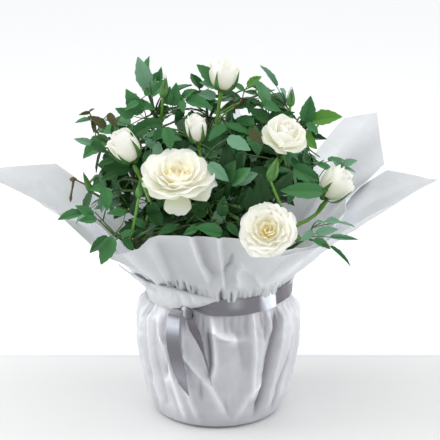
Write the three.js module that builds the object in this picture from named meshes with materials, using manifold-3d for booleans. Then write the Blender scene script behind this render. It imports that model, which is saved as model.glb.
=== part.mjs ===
// A white-flowered miniature rose bush in its nursery pot, gift wrapped in pearly paper that is tied
// at the pot's rim with a satin ribbon. Millimetres, +Z up. The origin is the middle of the flat
// underside that the wrapped pot stands on.
import * as THREE from 'three';
import { mergeVertices } from 'three/addons/utils/BufferGeometryUtils.js';
import Module from 'manifold-3d';

const wasm = await Module();
wasm.setup();

// ---------- driving dimensions ----------
const GAP = 0.35; // clear space between neighbouring pieces
const PAPER = 1.2; // the sheet with its small folds pressed together

const POT = { rimRadius: 65, footRadius: 48, height: 108, wall: 1.5, bandHeight: 12, bandStep: 2 };
const SOIL_TOP = 97;
const NECK = { radius: 68, foot: 109, top: 125 }; // the gathered paper under the ribbon
const RIBBON = { width: 15, thickness: 0.9, tailThickness: 1.2 };

// The rim of the open paper, counter-clockwise from the right: the bearing seen from above in degrees,
// the distance from the axis and the height. Corners of the sheets stand out as wings, and the edge
// runs straight from each of these points to the next.
const RIM = [
  { bearing: 0, radius: 197, height: 213 }, // tip of the right wing
  { bearing: 24, radius: 177, height: 205 },
  { bearing: 33, radius: 193, height: 206 },
  { bearing: 42, radius: 210, height: 248 }, // tip of the back right wing
  { bearing: 50, radius: 195, height: 240 },
  { bearing: 58, radius: 167, height: 192 },
  { bearing: 70, radius: 128, height: 196 },
  { bearing: 84, radius: 168, height: 260 }, // tip of the back wing
  { bearing: 104, radius: 125, height: 200 },
  { bearing: 126, radius: 122, height: 176 },
  { bearing: 142, radius: 148, height: 174 },
  { bearing: 154, radius: 169, height: 208 },
  { bearing: 180, radius: 216, height: 219 }, // tip of the left wing
  { bearing: 207, radius: 154, height: 203 },
  { bearing: 228, radius: 112, height: 168 },
  { bearing: 240, radius: 103, height: 184 },
  { bearing: 257, radius: 98, height: 191 },
  { bearing: 283, radius: 95, height: 189 },
  { bearing: 305, radius: 98, height: 168 },
  { bearing: 315, radius: 112, height: 174 },
  { bearing: 331, radius: 144, height: 199 },
];

const PANELS = [
  { name: 'wing_right', from: 331, to: 384 },
  { name: 'wing_back_right', from: 24, to: 58 },
  { name: 'wing_back', from: 58, to: 104 },
  { name: 'collar_back_left', from: 104, to: 142 },
  { name: 'wing_left', from: 142, to: 207 },
  { name: 'collar_front_left', from: 207, to: 240 },
  { name: 'collar_front', from: 240, to: 283 },
  { name: 'collar_front_right', from: 283, to: 331 },
];

// Canes: where each rises from the soil and where it enters the foliage.
const CANE = { footRadius: 3.2, tipRadius: 2.2, flare: 1.6 };
const CANES = [
  { name: 'cane_left', foot: [-20, -4], tip: [-40, -12, 190] },
  { name: 'cane_front', foot: [-4, -18], tip: [-8, -34, 188] },
  { name: 'cane_right', foot: [18, -6], tip: [38, -12, 190] },
  { name: 'cane_back_right', foot: [14, 16], tip: [28, 38, 192] },
  { name: 'cane_back_left', foot: [-12, 18], tip: [-26, 40, 192] },
];

// Boughs: the cane each one leaves, how far up that cane, and where it enters the foliage.
const BOUGH = { footRadius: 1.9, tipRadius: 1.4, offset: 5.6 };
const BOUGHS = [
  { name: 'bough_left_low', cane: 'cane_left', at: 0.62, tip: [-62, -24, 188] },
  { name: 'bough_left_drooping', cane: 'cane_left', at: 0.45, tip: [-76, -64, 172] },
  { name: 'bough_left_high', cane: 'cane_left', at: 0.9, tip: [-84, -14, 240] },
  { name: 'bough_upper_left', cane: 'cane_back_left', at: 0.8, tip: [-54, 8, 268] },
  { name: 'bough_top', cane: 'cane_back_left', at: 0.92, tip: [-8, 24, 264] },
  { name: 'bough_upper_right', cane: 'cane_right', at: 0.9, tip: [68, 4, 258] },
  { name: 'bough_right', cane: 'cane_right', at: 0.7, tip: [58, -14, 216] },
  { name: 'bough_right_low', cane: 'cane_right', at: 0.5, tip: [76, -52, 176] },
];

// Flowers: the foot of the bloom, the way it faces, its width and depth, and where its stem leaves
// the foliage.
const BLOOMS = [
  { name: 'front', foot: [-33, -62, 217], faces: [0.06, -0.55, 0.83], width: 66, depth: 27, open: true, stem: [-26, -38, 190] },
  { name: 'low_right', foot: [44, -88, 189], faces: [-0.06, -0.86, 0.5], width: 57, depth: 27, open: true, stem: [34, -50, 190] },
  { name: 'upper_right', foot: [58, -34, 252], faces: [0.08, -0.55, 0.83], width: 41, depth: 24, open: true, stem: [46, -16, 228] },
  { name: 'left', foot: [-72, -36, 238], faces: [-0.42, -0.12, 0.9], width: 30, depth: 33, open: false, stem: [-56, -52, 205] },
  { name: 'middle', foot: [-16, -30, 258], faces: [-0.06, -0.2, 0.98], width: 22, depth: 27, open: false, stem: [-10, -36, 232] },
  { name: 'top', foot: [4, 4, 294], faces: [0.2, 0.25, 0.95], width: 30, depth: 29, open: false, stem: [0, 0, 258] },
  { name: 'right', foot: [95, -36, 207], faces: [0.5, -0.05, 0.86], width: 34, depth: 31, open: false, stem: [60, -56, 186] },
];
const STEM = { footRadius: 1.9, tipRadius: 1.6, neck: 1.1 };

// Masses of foliage: the middle and the half sizes of each.
const MASSES = [
  { name: 'foliage_core', middle: [-2, 8, 205], half: [50, 40, 24] },
  { name: 'foliage_front_low', middle: [-14, -60, 198], half: [42, 24, 20] },
  { name: 'foliage_left_low', middle: [-88, -28, 202], half: [47, 34, 22] },
  { name: 'foliage_left_drooping', middle: [-92, -74, 175], half: [26, 16, 16] },
  { name: 'foliage_left_high', middle: [-98, -14, 256], half: [29, 26, 22] },
  { name: 'foliage_upper_left', middle: [-58, 2, 293], half: [30, 28, 32] },
  { name: 'foliage_top', middle: [-8, 22, 283], half: [27, 30, 25] },
  { name: 'foliage_middle_left', middle: [-42, -22, 243], half: [32, 26, 20] },
  { name: 'foliage_middle_right', middle: [14, -34, 238], half: [34, 28, 27] },
  { name: 'foliage_upper_middle', middle: [38, 10, 290], half: [22, 24, 22] },
  { name: 'foliage_upper_right', middle: [78, 2, 274], half: [32, 26, 24] },
  { name: 'foliage_right', middle: [76, -14, 226], half: [33, 32, 23] },
  { name: 'foliage_right_low', middle: [92, -62, 180], half: [31, 20, 14] },
  { name: 'foliage_back_left', middle: [-72, 62, 232], half: [44, 38, 38] },
  { name: 'foliage_back', middle: [0, 78, 234], half: [36, 34, 42] },
  { name: 'foliage_back_right', middle: [66, 62, 232], half: [38, 36, 38] },
];
const UNEVENNESS = 0.09;

// ---------- fineness of the faceted shapes ----------
const ROUND = 28; // sides of the pot
const FLUTED = 36; // sides of the wrapped body
const PANEL_STEP = 10; // degrees
const PANEL_ROWS = 3;
const LIMB_SIDES = 5;
const LIMB_STEP = 18;
const MASS_DETAIL = 2;
const BLOOM_SIDES = 11;

// ---------- finishes ----------
const finish = (color, roughness, metalness = 0) =>
  new THREE.MeshStandardMaterial({ color, roughness, metalness });
const FINISH = {
  paper: finish(0xd2d3d9, 0.45, 0.1),
  ribbon: finish(0x9b989f, 0.35, 0.2),
  pot: finish(0x3b3a3a, 0.6),
  soil: finish(0x3a2a20, 0.95),
  cane: finish(0x5d7a34, 0.6),
  stem: finish(0x6f9a35, 0.5),
  foliage: finish(0x2f6b3c, 0.55),
  petal: finish(0xf6f4ea, 0.6),
};

const bush = new THREE.Group();

// ---------- helpers ----------
const radians = THREE.MathUtils.degToRad;
const lerp = THREE.MathUtils.lerp;
const smooth = THREE.MathUtils.smoothstep;

function add(name, geometry, material, group = bush) {
  const mesh = new THREE.Mesh(geometry, material);
  mesh.name = name;
  group.add(mesh);
  return mesh;
}

// Moves every vertex of a three.js primitive to where `place` says.
function reshape(geometry, place) {
  const position = geometry.getAttribute('position');
  const corner = new THREE.Vector3();
  for (let i = 0; i < position.count; i++) {
    const { x, y, z } = place(corner.fromBufferAttribute(position, i));
    position.setXYZ(i, x, y, z);
  }
  geometry.computeVertexNormals();
  return geometry;
}

// A point seen from above, from its distance off the axis and its bearing in degrees from +X.
function onPlan(radius, bearing) {
  const turn = radians(bearing);
  return new THREE.Vector2(radius * Math.cos(turn), radius * Math.sin(turn));
}

function solidOf(geometry) {
  const loose = geometry.index ? geometry.toNonIndexed() : geometry;
  const bare = new THREE.BufferGeometry().setAttribute('position', loose.getAttribute('position'));
  const merged = mergeVertices(bare, 1e-3);
  return new wasm.Manifold(
    new wasm.Mesh({
      numProp: 3,
      vertProperties: merged.getAttribute('position').array,
      triVerts: new Uint32Array(merged.index.array),
    }),
  );
}

// The largest body of a cut solid, as a three.js geometry.
function geometryOf(solid) {
  const largest = solid.decompose().sort((a, b) => b.volume() - a.volume())[0];
  const { vertProperties, triVerts } = largest.getMesh();
  const geometry = new THREE.BufferGeometry();
  geometry.setAttribute('position', new THREE.BufferAttribute(new Float32Array(vertProperties), 3));
  geometry.setIndex(new THREE.BufferAttribute(new Uint32Array(triVerts), 1));
  geometry.computeVertexNormals();
  return geometry;
}

// Lathes a closed profile of [radius, height] pairs about +Z.
function turned(profile, sides) {
  const points = profile.map(([radius, height]) => new THREE.Vector2(radius, height));
  return new THREE.LatheGeometry(points, sides).rotateX(Math.PI / 2);
}

// ---------- the paper's shape ----------
// Where the upright plane at a bearing meets the rim's straight edge.
function rimAt(bearing) {
  const turn = THREE.MathUtils.euclideanModulo(bearing, 360);
  const passed = RIM.filter((corner) => corner.bearing <= turn).length;
  const [from, to] = [RIM[passed - 1], RIM[passed % RIM.length]];
  const [start, end] = [from, to].map((corner) => onPlan(corner.radius, corner.bearing));
  const outwards = onPlan(1, bearing);
  const edge = end.sub(start);
  const share = -start.cross(outwards) / edge.cross(outwards);
  return {
    radius: start.addScaledVector(edge, share).dot(outwards),
    height: lerp(from.height, to.height, share),
  };
}

// A point on the open paper: `along` 0 at the tie and 1 at the rim, `out` off the middle of its
// thickness, `past` beyond its edge.
function collarPoint(bearing, along, out, past) {
  const rim = rimAt(bearing);
  const foot = NECK.top + PAPER;
  const rise = Math.atan2(rim.height - foot, rim.radius - NECK.radius);
  const slant = along * Math.hypot(rim.height - foot, rim.radius - NECK.radius) + past;
  const radius = NECK.radius + slant * Math.cos(rise) + out * Math.sin(rise);
  const height = foot + slant * Math.sin(rise) - out * Math.cos(rise);
  const { x, y } = onPlan(radius, bearing);
  return new THREE.Vector3(x, y, height);
}

// Bearings across a panel: its two ends, the corners of the rim between them and even steps.
function stationsBetween(from, to) {
  const corners = RIM.map(({ bearing }) => (bearing < from ? bearing + 360 : bearing));
  const marks = [from, ...corners.filter((bearing) => bearing > from && bearing < to), to];
  marks.sort((a, b) => a - b);
  return marks.slice(1).reduce(
    (stations, mark, i) => {
      const steps = Math.ceil((mark - marks[i]) / PANEL_STEP);
      for (let step = 1; step <= steps; step++) stations.push(lerp(marks[i], mark, step / steps));
      return stations;
    },
    [from],
  );
}

// One panel of the open paper; `extra` makes the clear space round it.
function collarPanel({ from, to }, extra = 0) {
  const trim = THREE.MathUtils.radToDeg((GAP / 2 - extra) / NECK.radius);
  const stations = stationsBetween(from + trim, to - trim);
  const across = stations.length - 1;
  const panel = new THREE.BoxGeometry(1, 1, 1, across, PANEL_ROWS, 1);
  return reshape(panel, ({ x, y, z }) => {
    const bearing = stations[Math.round((x + 0.5) * across)];
    return collarPoint(bearing, y + 0.5, z * (PAPER + 2 * extra), 2 * y * extra);
  });
}

// The outside of the wrapped pot: [height, radius], from the foot up to the neck.
const BODY = [
  [0, 54],
  [3, 58.5],
  [17, 63.5],
  [35, 67],
  [55, 70],
  [80, 72],
  [98, 72],
  [106, 70.5],
  [NECK.foot, NECK.radius],
  [NECK.top, NECK.radius],
];

function bodyRadius(height) {
  const above = Math.max(1, BODY.findIndex(([level]) => level >= height));
  const [low, high] = [BODY[above - 1], BODY[above]];
  return lerp(low[1], high[1], (height - low[0]) / (high[0] - low[0]));
}

// The wrap stands out in pleats between foot and neck, and hangs fuller at its right shoulder.
const FULLNESS = 2.6;
function pleat(turn, height) {
  const share = smooth(height, 2, 30) * (1 - smooth(height, 90, NECK.foot));
  const folds = 1.5 * Math.cos(9 * turn + 0.4) + 0.7 * Math.cos(5 * turn + 2 + height / 40);
  const shoulder = smooth(height, 30, 75) * (1 - smooth(height, 100, NECK.foot));
  return share * folds + FULLNESS * shoulder * smooth(Math.cos(turn), 0.2, 1);
}

// ---------- pot, soil and wrap ----------
function potRadius(height) {
  return lerp(POT.footRadius, POT.rimRadius - POT.bandStep, height / POT.height);
}

function wrapBody() {
  const floor = PAPER;
  const inner = [[potRadius(0) + POT.bandStep, floor], [POT.rimRadius + GAP, POT.height - POT.bandHeight - 4]];
  const profile = [
    [0, 0],
    ...BODY.map(([height, radius]) => [radius, height]),
    [POT.rimRadius + GAP, NECK.top],
    ...inner.reverse(),
    [0, floor],
  ];
  return reshape(turned(profile, FLUTED), (corner) => {
    const radius = Math.hypot(corner.x, corner.y);
    if (radius < bodyRadius(corner.z) - 0.01) return corner;
    const swollen = 1 + pleat(Math.atan2(corner.y, corner.x), corner.z) / radius;
    return { x: corner.x * swollen, y: corner.y * swollen, z: corner.z };
  });
}

function pot() {
  const foot = PAPER + GAP;
  const bandFoot = POT.height - POT.bandHeight;
  const profile = [
    [0, foot],
    [POT.footRadius, foot],
    [potRadius(bandFoot), bandFoot],
    [POT.rimRadius, bandFoot],
    [POT.rimRadius, POT.height],
    [POT.rimRadius - POT.wall, POT.height],
    [potRadius(bandFoot) - POT.wall, bandFoot - POT.wall],
    [POT.footRadius - POT.wall, foot + POT.wall],
    [0, foot + POT.wall],
  ];
  return turned(profile, ROUND);
}

function rootBall() {
  const foot = PAPER + 2 * GAP + POT.wall;
  const radiusAt = (height) => potRadius(height) - POT.wall - 3 * GAP;
  return turned([[0, foot], [radiusAt(foot), foot], [radiusAt(90), 90], [radiusAt(90) - 4, SOIL_TOP], [0, SOIL_TOP]], ROUND);
}

const potGroup = new THREE.Group();
bush.add(potGroup);
add('wrap_body', wrapBody(), FINISH.paper, potGroup);
add('pot', pot(), FINISH.pot, potGroup);
add('root_ball', rootBall(), FINISH.soil, potGroup);
for (const panel of PANELS) add(panel.name, collarPanel(panel), FINISH.paper, potGroup);

// A strip that lies on the wrapped body: its bearing, height and distance off the body are worked
// out from its own length and width.
function strip(length, width, thickness, along, across, place) {
  return reshape(new THREE.BoxGeometry(width, length, thickness, across, along, 1), (corner) => {
    const { bearing, height, out } = place(corner.y / length + 0.5, corner.x);
    const { x, y } = onPlan(bodyRadius(height) + out + corner.z, bearing);
    return { x, y, z: height };
  });
}

// The puffed fold of paper that hangs over the ribbon at the left front.
const CUFF = { from: 186, to: 241, foot: 111, top: 124.6, out: 2.6 };
add(
  'wrap_cuff',
  strip(1, 1, PAPER, 1, 10, (up, x) => ({
    bearing: lerp(CUFF.from, CUFF.to, x + 0.5),
    height: lerp(CUFF.foot, CUFF.top, up),
    out: CUFF.out,
  })),
  FINISH.paper,
  potGroup,
);

// ---------- ribbon ----------
const RIBBON_MIDDLE = (NECK.foot + NECK.top) / 2;
const KNOT = { bearing: 248.5, size: [13, 6, 13] };
const TAILS = [
  { name: 'ribbon_tail_long', length: 66, width: 12, lean: -5, swing: 1.5, out: 5.2 },
  { name: 'ribbon_tail_short', length: 58, width: 9, lean: 6.5, swing: 12, out: 5.2 },
];

function ribbonBand() {
  const inner = NECK.radius + GAP;
  const outer = inner + RIBBON.thickness;
  const [low, high] = [RIBBON_MIDDLE - RIBBON.width / 2, RIBBON_MIDDLE + RIBBON.width / 2];
  return turned([[inner, low], [outer, low], [outer, high], [inner, high], [inner, low]], FLUTED);
}

function ribbonTail({ length, width, lean, swing, out }) {
  const head = NECK.foot - 3;
  return strip(length, width, RIBBON.tailThickness, 6, 2, (up, x) => {
    const height = head - (1 - up) * length;
    const sideways = THREE.MathUtils.radToDeg(x / bodyRadius(height));
    return { bearing: KNOT.bearing + lean + swing * (1 - up) + sideways, height, out };
  });
}

const ribbonGroup = new THREE.Group();
bush.add(ribbonGroup);
add('ribbon_band', ribbonBand(), FINISH.ribbon, ribbonGroup);
const knot = add('ribbon_knot', new THREE.BoxGeometry(...KNOT.size, 2, 2, 2), FINISH.ribbon, ribbonGroup);
const knotRadius = NECK.radius + 3 * GAP + RIBBON.thickness + KNOT.size[1] / 2;
const knotTurn = radians(KNOT.bearing);
knot.position.set(knotRadius * Math.cos(knotTurn), knotRadius * Math.sin(knotTurn), RIBBON_MIDDLE - 1);
knot.rotation.z = knotTurn - Math.PI / 2;
for (const tail of TAILS) add(tail.name, ribbonTail(tail), FINISH.ribbon, ribbonGroup);

// ---------- canes and flower stems ----------
const curveThrough = (points) =>
  new THREE.CatmullRomCurve3(points.map((point) => new THREE.Vector3(...point)));

// One tapering limb along a smooth curve; `extra` makes the clear space round it.
function limb(points, radiusAt, extra = 0) {
  const curve = curveThrough(points);
  const steps = Math.max(4, Math.round(curve.getLength() / LIMB_STEP));
  const { normals, binormals, tangents } = curve.computeFrenetFrames(steps);
  return reshape(new THREE.CylinderGeometry(1, 1, 1, LIMB_SIDES, steps), (corner) => {
    const ring = Math.round((corner.y + 0.5) * steps);
    const radius = radiusAt(ring / steps) + extra;
    const past = ring === 0 ? -extra : ring === steps ? extra : 0;
    const [sideways, forwards] = [corner.x * radius, -corner.z * radius];
    return curve
      .getPointAt(ring / steps)
      .addScaledVector(tangents[ring], past)
      .addScaledVector(normals[ring], sideways)
      .addScaledVector(binormals[ring], forwards);
  });
}

function cane({ foot, tip }, extra = 0) {
  const radiusAt = (t) => lerp(CANE.footRadius, CANE.tipRadius, t) + CANE.flare * Math.exp(-14 * t);
  return limb(caneRoute({ foot, tip }), radiusAt, extra);
}

function caneRoute({ foot: [x, y], tip }) {
  return [
    [x, y, SOIL_TOP + GAP],
    [x, y, SOIL_TOP + 8],
    [lerp(x, tip[0], 0.4), lerp(y, tip[1], 0.4), lerp(SOIL_TOP, tip[2], 0.5)],
    tip,
  ];
}

// A bough starts beside its cane and turns upwards on its way to its tip.
function bough({ cane: from, at, tip }, extra = 0) {
  const fork = curveThrough(caneRoute(CANES.find(({ name }) => name === from))).getPointAt(at);
  const end = new THREE.Vector3(...tip);
  const outwards = end.clone().sub(fork).setZ(0).normalize();
  const foot = fork.clone().addScaledVector(outwards, BOUGH.offset);
  const bend = foot.clone().lerp(end, 0.5);
  bend.z -= 0.08 * foot.distanceTo(end);
  const radiusAt = (t) => lerp(BOUGH.footRadius, BOUGH.tipRadius, t);
  return limb([foot.toArray(), bend.toArray(), tip], radiusAt, extra);
}

// Each stem meets its bloom square on, and bends back to where it leaves the foliage.
function stem({ foot, faces, stem: root }, extra = 0) {
  const bloom = new THREE.Vector3(...foot);
  const axis = new THREE.Vector3(...faces).normalize();
  const head = bloom.clone().addScaledVector(axis, -GAP);
  const length = head.distanceTo(new THREE.Vector3(...root));
  const bend = head.clone().addScaledVector(axis, -0.35 * length);
  const radiusAt = (t) => lerp(STEM.footRadius, STEM.tipRadius, t) + STEM.neck * smooth(t, 0.85, 1);
  return limb([root, bend.toArray(), head.toArray()], radiusAt, extra);
}

// ---------- blooms ----------
// Share of the half width and share of the depth, from the calyx to the crown of the petals.
const OPEN_BLOOM = [[0, 0], [0.3, 0.04], [0.72, 0.36], [1, 0.72], [0.86, 0.95], [0.45, 1], [0, 0.94]];
const CUPPED_BLOOM = [[0, 0], [0.5, 0.07], [0.88, 0.28], [1, 0.52], [0.86, 0.8], [0.55, 0.97], [0, 1]];

function bloom({ width, depth, open }, extra = 0) {
  const outline = (open ? OPEN_BLOOM : CUPPED_BLOOM).map(([across, up]) => [
    (across * width) / 2,
    up * depth,
  ]);
  const grow = 1 + (2 * extra) / Math.min(width, depth);
  return turned(outline, BLOOM_SIDES)
    .translate(0, 0, -depth / 2)
    .scale(grow, grow, grow)
    .translate(0, 0, depth / 2);
}

function bloomTurn({ faces }) {
  const axis = new THREE.Vector3(...faces).normalize();
  return new THREE.Quaternion().setFromUnitVectors(new THREE.Vector3(0, 0, 1), axis);
}

const plantGroup = new THREE.Group();
bush.add(plantGroup);
const obstacles = PANELS.map((panel) => solidOf(collarPanel(panel, 3 * GAP)));

for (const one of CANES) {
  add(one.name, cane(one), FINISH.cane, plantGroup);
  obstacles.push(solidOf(cane(one, GAP)));
}
for (const one of BOUGHS) {
  add(one.name, bough(one), FINISH.cane, plantGroup);
  obstacles.push(solidOf(bough(one, GAP)));
}
for (const one of BLOOMS) {
  add(`stem_${one.name}`, stem(one), FINISH.stem, plantGroup);
  obstacles.push(solidOf(stem(one, GAP)));
  const mesh = add(`bloom_${one.name}`, bloom(one), FINISH.petal, plantGroup);
  mesh.position.set(...one.foot);
  mesh.quaternion.copy(bloomTurn(one));
  const room = bloom(one, 2 * GAP).applyQuaternion(mesh.quaternion).translate(...one.foot);
  obstacles.push(solidOf(room));
}

// ---------- foliage ----------
// An uneven rounded mass about its own middle; the seed makes each one's outline its own.
function mass({ half }, seed, extra = 0) {
  const wave = (x, y, z) =>
    Math.sin(2.6 * x + 1.7 * seed) + Math.sin(3.1 * y + 2.3 * seed) + Math.sin(3.7 * z + 2.9 * seed) +
    0.6 * Math.sin(5.3 * x - 4.1 * z + seed);
  return reshape(new THREE.IcosahedronGeometry(1, MASS_DETAIL), (corner) => {
    const swell = 1 + UNEVENNESS * wave(corner.x, corner.y, corner.z);
    const [x, y, z] = half.map((size) => size * swell + extra);
    return { x: corner.x * x, y: corner.y * y, z: corner.z * z };
  });
}

let taken = wasm.Manifold.union(obstacles);
MASSES.forEach((one, index) => {
  const whole = solidOf(mass(one, index)).translate(one.middle);
  const cut = geometryOf(whole.subtract(taken)).translate(...one.middle.map((value) => -value));
  add(one.name, cut, FINISH.foliage, plantGroup).position.set(...one.middle);
  taken = taken.add(solidOf(mass(one, index, 2 * GAP)).translate(one.middle));
});

export default bush;
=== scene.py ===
# %% [markdown]
# # A miniature rose in gift paper
# A white miniature rose stands in its nursery pot. Pearly paper wraps the pot, a satin ribbon ties it
# at the rim, and the corners of the paper stand out as wings round the leaves and flowers.
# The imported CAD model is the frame. It says how big everything is and where it stands, and each step
# below dresses one part of it.

# %% Load the frame
import math
import random

import bpy
import numpy as np
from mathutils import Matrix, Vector, noise


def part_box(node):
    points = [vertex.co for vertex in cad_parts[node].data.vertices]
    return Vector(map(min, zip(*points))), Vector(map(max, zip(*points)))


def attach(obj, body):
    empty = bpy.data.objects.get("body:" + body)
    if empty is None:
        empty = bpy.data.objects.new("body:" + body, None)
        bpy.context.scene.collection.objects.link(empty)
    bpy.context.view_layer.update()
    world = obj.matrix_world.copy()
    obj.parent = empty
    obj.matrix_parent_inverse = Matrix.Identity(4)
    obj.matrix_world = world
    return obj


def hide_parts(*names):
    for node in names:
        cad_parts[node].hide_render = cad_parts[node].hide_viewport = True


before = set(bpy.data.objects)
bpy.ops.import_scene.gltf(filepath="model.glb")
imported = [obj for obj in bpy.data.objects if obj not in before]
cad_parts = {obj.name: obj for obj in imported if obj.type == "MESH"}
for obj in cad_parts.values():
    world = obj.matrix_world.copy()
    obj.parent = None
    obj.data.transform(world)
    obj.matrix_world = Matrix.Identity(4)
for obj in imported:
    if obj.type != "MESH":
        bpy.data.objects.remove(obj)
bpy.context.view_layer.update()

print("nodes in the frame:", len(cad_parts))

# %% [markdown]
# ## Camera, floor and light
# The rose is seen from a little above, from far enough away that the paper's wings don't swell.
# A white room lights it from all round. Two tall soft boxes stand beside it, the left one brighter, so
# that both sides of the pot are bright and the front of the paper stays pearly grey.

# %% Camera, floor and lights
MM = 0.001
AIM = Vector((2.7, 0, 178)) * MM
DISTANCE = 1.3
ELEVATION = math.radians(16)
WALL_LIGHT, CEILING_LIGHT = 0.62, 1.1

bpy.context.scene.view_settings.view_transform = "Standard"


def deselect():
    bpy.ops.object.select_all(action="DESELECT")


def turn_towards(thing, target):
    thing.rotation_euler = (target - thing.location).to_track_quat("-Z", "Y").to_euler()


deselect()
bpy.ops.object.camera_add(location=AIM + DISTANCE * Vector((0, -math.cos(ELEVATION), math.sin(ELEVATION))))
camera = bpy.context.object
turn_towards(camera, AIM)
camera.data.sensor_width = 36
camera.data.lens = 118.2
bpy.context.scene.camera = camera


def soft_box(name, location, width, height, power):
    bpy.ops.object.light_add(type="AREA", location=location)
    light = bpy.context.object
    light.name = name
    light.data.shape = "RECTANGLE"
    light.data.size, light.data.size_y = width, height
    light.data.energy = power
    turn_towards(light, Vector((0, 0, 0.12)))


soft_box("light_left", (-1.5, -0.1, 0.75), 0.8, 1.5, 12)
soft_box("light_right", (1.5, 0.0, 0.45), 0.5, 0.9, 7)
soft_box("light_above", (0.1, -0.7, 1.9), 1.2, 1.0, 3)

world = bpy.data.worlds.new("room")
bpy.context.scene.world = world
world.use_nodes = True
room_nodes = world.node_tree.nodes
room = room_nodes["Background"]
way = room_nodes.new("ShaderNodeTexCoord")
parts = room_nodes.new("ShaderNodeSeparateXYZ")
ceiling = room_nodes.new("ShaderNodeMapRange")
world.node_tree.links.new(way.outputs["Generated"], parts.inputs[0])
world.node_tree.links.new(parts.outputs["Z"], ceiling.inputs["Value"])
world.node_tree.links.new(ceiling.outputs[0], room.inputs["Strength"])
ceiling.inputs["From Min"].default_value, ceiling.inputs["From Max"].default_value = 0.0, 0.9
ceiling.inputs["To Min"].default_value, ceiling.inputs["To Max"].default_value = WALL_LIGHT, CEILING_LIGHT
room.inputs["Color"].default_value = (0.97, 0.985, 1, 1)
print("camera at", [round(value, 3) for value in camera.location])

# %% [markdown]
# ## Writing materials as sums
# A finish is a small network of shader nodes. Wrapping a socket in a class lets the network be written
# as ordinary arithmetic, so that `1 - mask * 0.5` adds its own Math nodes.


# %% Shader arithmetic
class Signal:
    """One output socket of a finish, on which + - * and powers add Math nodes."""

    def __init__(self, finish, socket):
        self.finish = finish
        self.socket = socket

    def _math(self, operation, first, second):
        return self.finish.node("ShaderNodeMath", {"operation": operation}, {0: first, 1: second})

    def __add__(self, other):
        return self._math("ADD", self, other)

    def __sub__(self, other):
        return self._math("SUBTRACT", self, other)

    def __rsub__(self, other):
        return self._math("SUBTRACT", other, self)

    def __mul__(self, other):
        return self._math("MULTIPLY", self, other)

    def __pow__(self, other):
        return self._math("POWER", self, other)

    __radd__ = __add__
    __rmul__ = __mul__


class Finish:
    """A material with one Principled shader and the nodes that feed it."""

    def __init__(self, name, **constants):
        self.material = bpy.data.materials.new(name)
        self.material.use_nodes = True
        self.tree = self.material.node_tree
        self.shader = self.tree.nodes["Principled BSDF"]
        for socket, value in constants.items():
            self.set(socket.replace("_", " "), value)

    def set(self, socket, value):
        self._fill(self.shader.inputs[socket], value)

    def _fill(self, socket, value):
        if isinstance(value, Signal):
            self.tree.links.new(value.socket, socket)
        elif socket.type == "RGBA":
            socket.default_value = (*value[:3], 1)
        else:
            socket.default_value = value

    def node(self, kind, settings=None, values=None, output=0):
        made = self.tree.nodes.new(kind)
        for setting, value in (settings or {}).items():
            if setting == "stops":
                stops = made.color_ramp.elements
                while len(stops) < len(value):
                    stops.new(0.5)
                for stop, (place, color) in zip(stops, value):
                    stop.position = place
                    stop.color = (*color, 1)
            else:
                setattr(made, setting, value)
        for socket, value in (values or {}).items():
            self._fill(made.inputs[socket], value)
        return Signal(self, made.outputs[output])

    def coordinates(self, output="Object"):
        return self.node("ShaderNodeTexCoord", output=output)

    def stretched(self, scale, output="Object"):
        return self.node("ShaderNodeMapping", {}, {"Vector": self.coordinates(output), "Scale": scale})

    def noise(self, scale, detail=3.0, roughness=0.5, vector=None, distortion=0.0):
        values = {"Scale": scale, "Detail": detail, "Roughness": roughness, "Distortion": distortion}
        values["Vector"] = vector or self.coordinates()
        return self.node("ShaderNodeTexNoise", {}, values)

    def ramp(self, factor, stops):
        return self.node("ShaderNodeValToRGB", {"stops": stops}, {"Fac": factor})

    def mix(self, factor, first, second):
        return self.node("ShaderNodeMix", {"data_type": "RGBA"}, {0: factor, 6: first, 7: second}, output=2)

    def mark(self, name):
        """A mark stored on the points of the mesh."""
        return self.node("ShaderNodeAttribute", {"attribute_name": name}, output=2)

    def bump(self, height, strength, distance):
        values = {"Height": height, "Strength": strength, "Distance": distance}
        self.set("Normal", self.node("ShaderNodeBump", {}, values))


def mottled(name, roughness, grain, stops, strength, depth, stretch=None):
    """A finish whose colour and shallow bump follow one noise. Returns it and the noise."""
    finish = Finish(name, Roughness=roughness)
    tone = finish.noise(*grain, vector=finish.stretched(stretch) if stretch else None)
    finish.set("Base Color", finish.ramp(tone, stops))
    finish.bump(tone, strength, depth)
    return finish, tone


# %% [markdown]
# The floor is one plain pale sheet: a warm white table as far as just behind the pot, and a whiter
# backdrop that runs on from its edge. It catches the soft shadow and sends light up under the paper.

# %% Floor
floor_finish = Finish("floor_white", Roughness=0.8)
TABLE_EDGE = 0.122
TABLE, EDGE_LINE, BACKDROP = (0.78, 0.777, 0.764), (0.74, 0.74, 0.78), (0.985, 0.985, 0.985)
apart = floor_finish.node("ShaderNodeSeparateXYZ", {}, {0: floor_finish.coordinates()}, output=1)
behind = apart * 2.5 + (0.5 - TABLE_EDGE * 2.5)
floor_finish.set("Base Color", floor_finish.ramp(behind, [
    (0.0, TABLE), (0.488, TABLE), (0.493, EDGE_LINE), (0.503, EDGE_LINE), (0.51, BACKDROP), (1.0, BACKDROP),
]))
bpy.ops.mesh.primitive_plane_add(size=14, location=(0, 0, -0.0004))
floor = bpy.context.object
floor.name = "floor"
floor.data.materials.append(floor_finish.material)
print("floor size:", floor.dimensions.x)

# %% [markdown]
# ## Pieces and their places
# Every new piece rides on the one body, takes its finish and stands for
# the CAD nodes that it replaces. One helper says all of that, so no piece can miss a step.


# %% Piece helper
def nodes_named(*starts):
    return [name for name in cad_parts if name.startswith(starts)]


def make_active(piece):
    deselect()
    piece.select_set(True)
    bpy.context.view_layer.objects.active = piece


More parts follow.
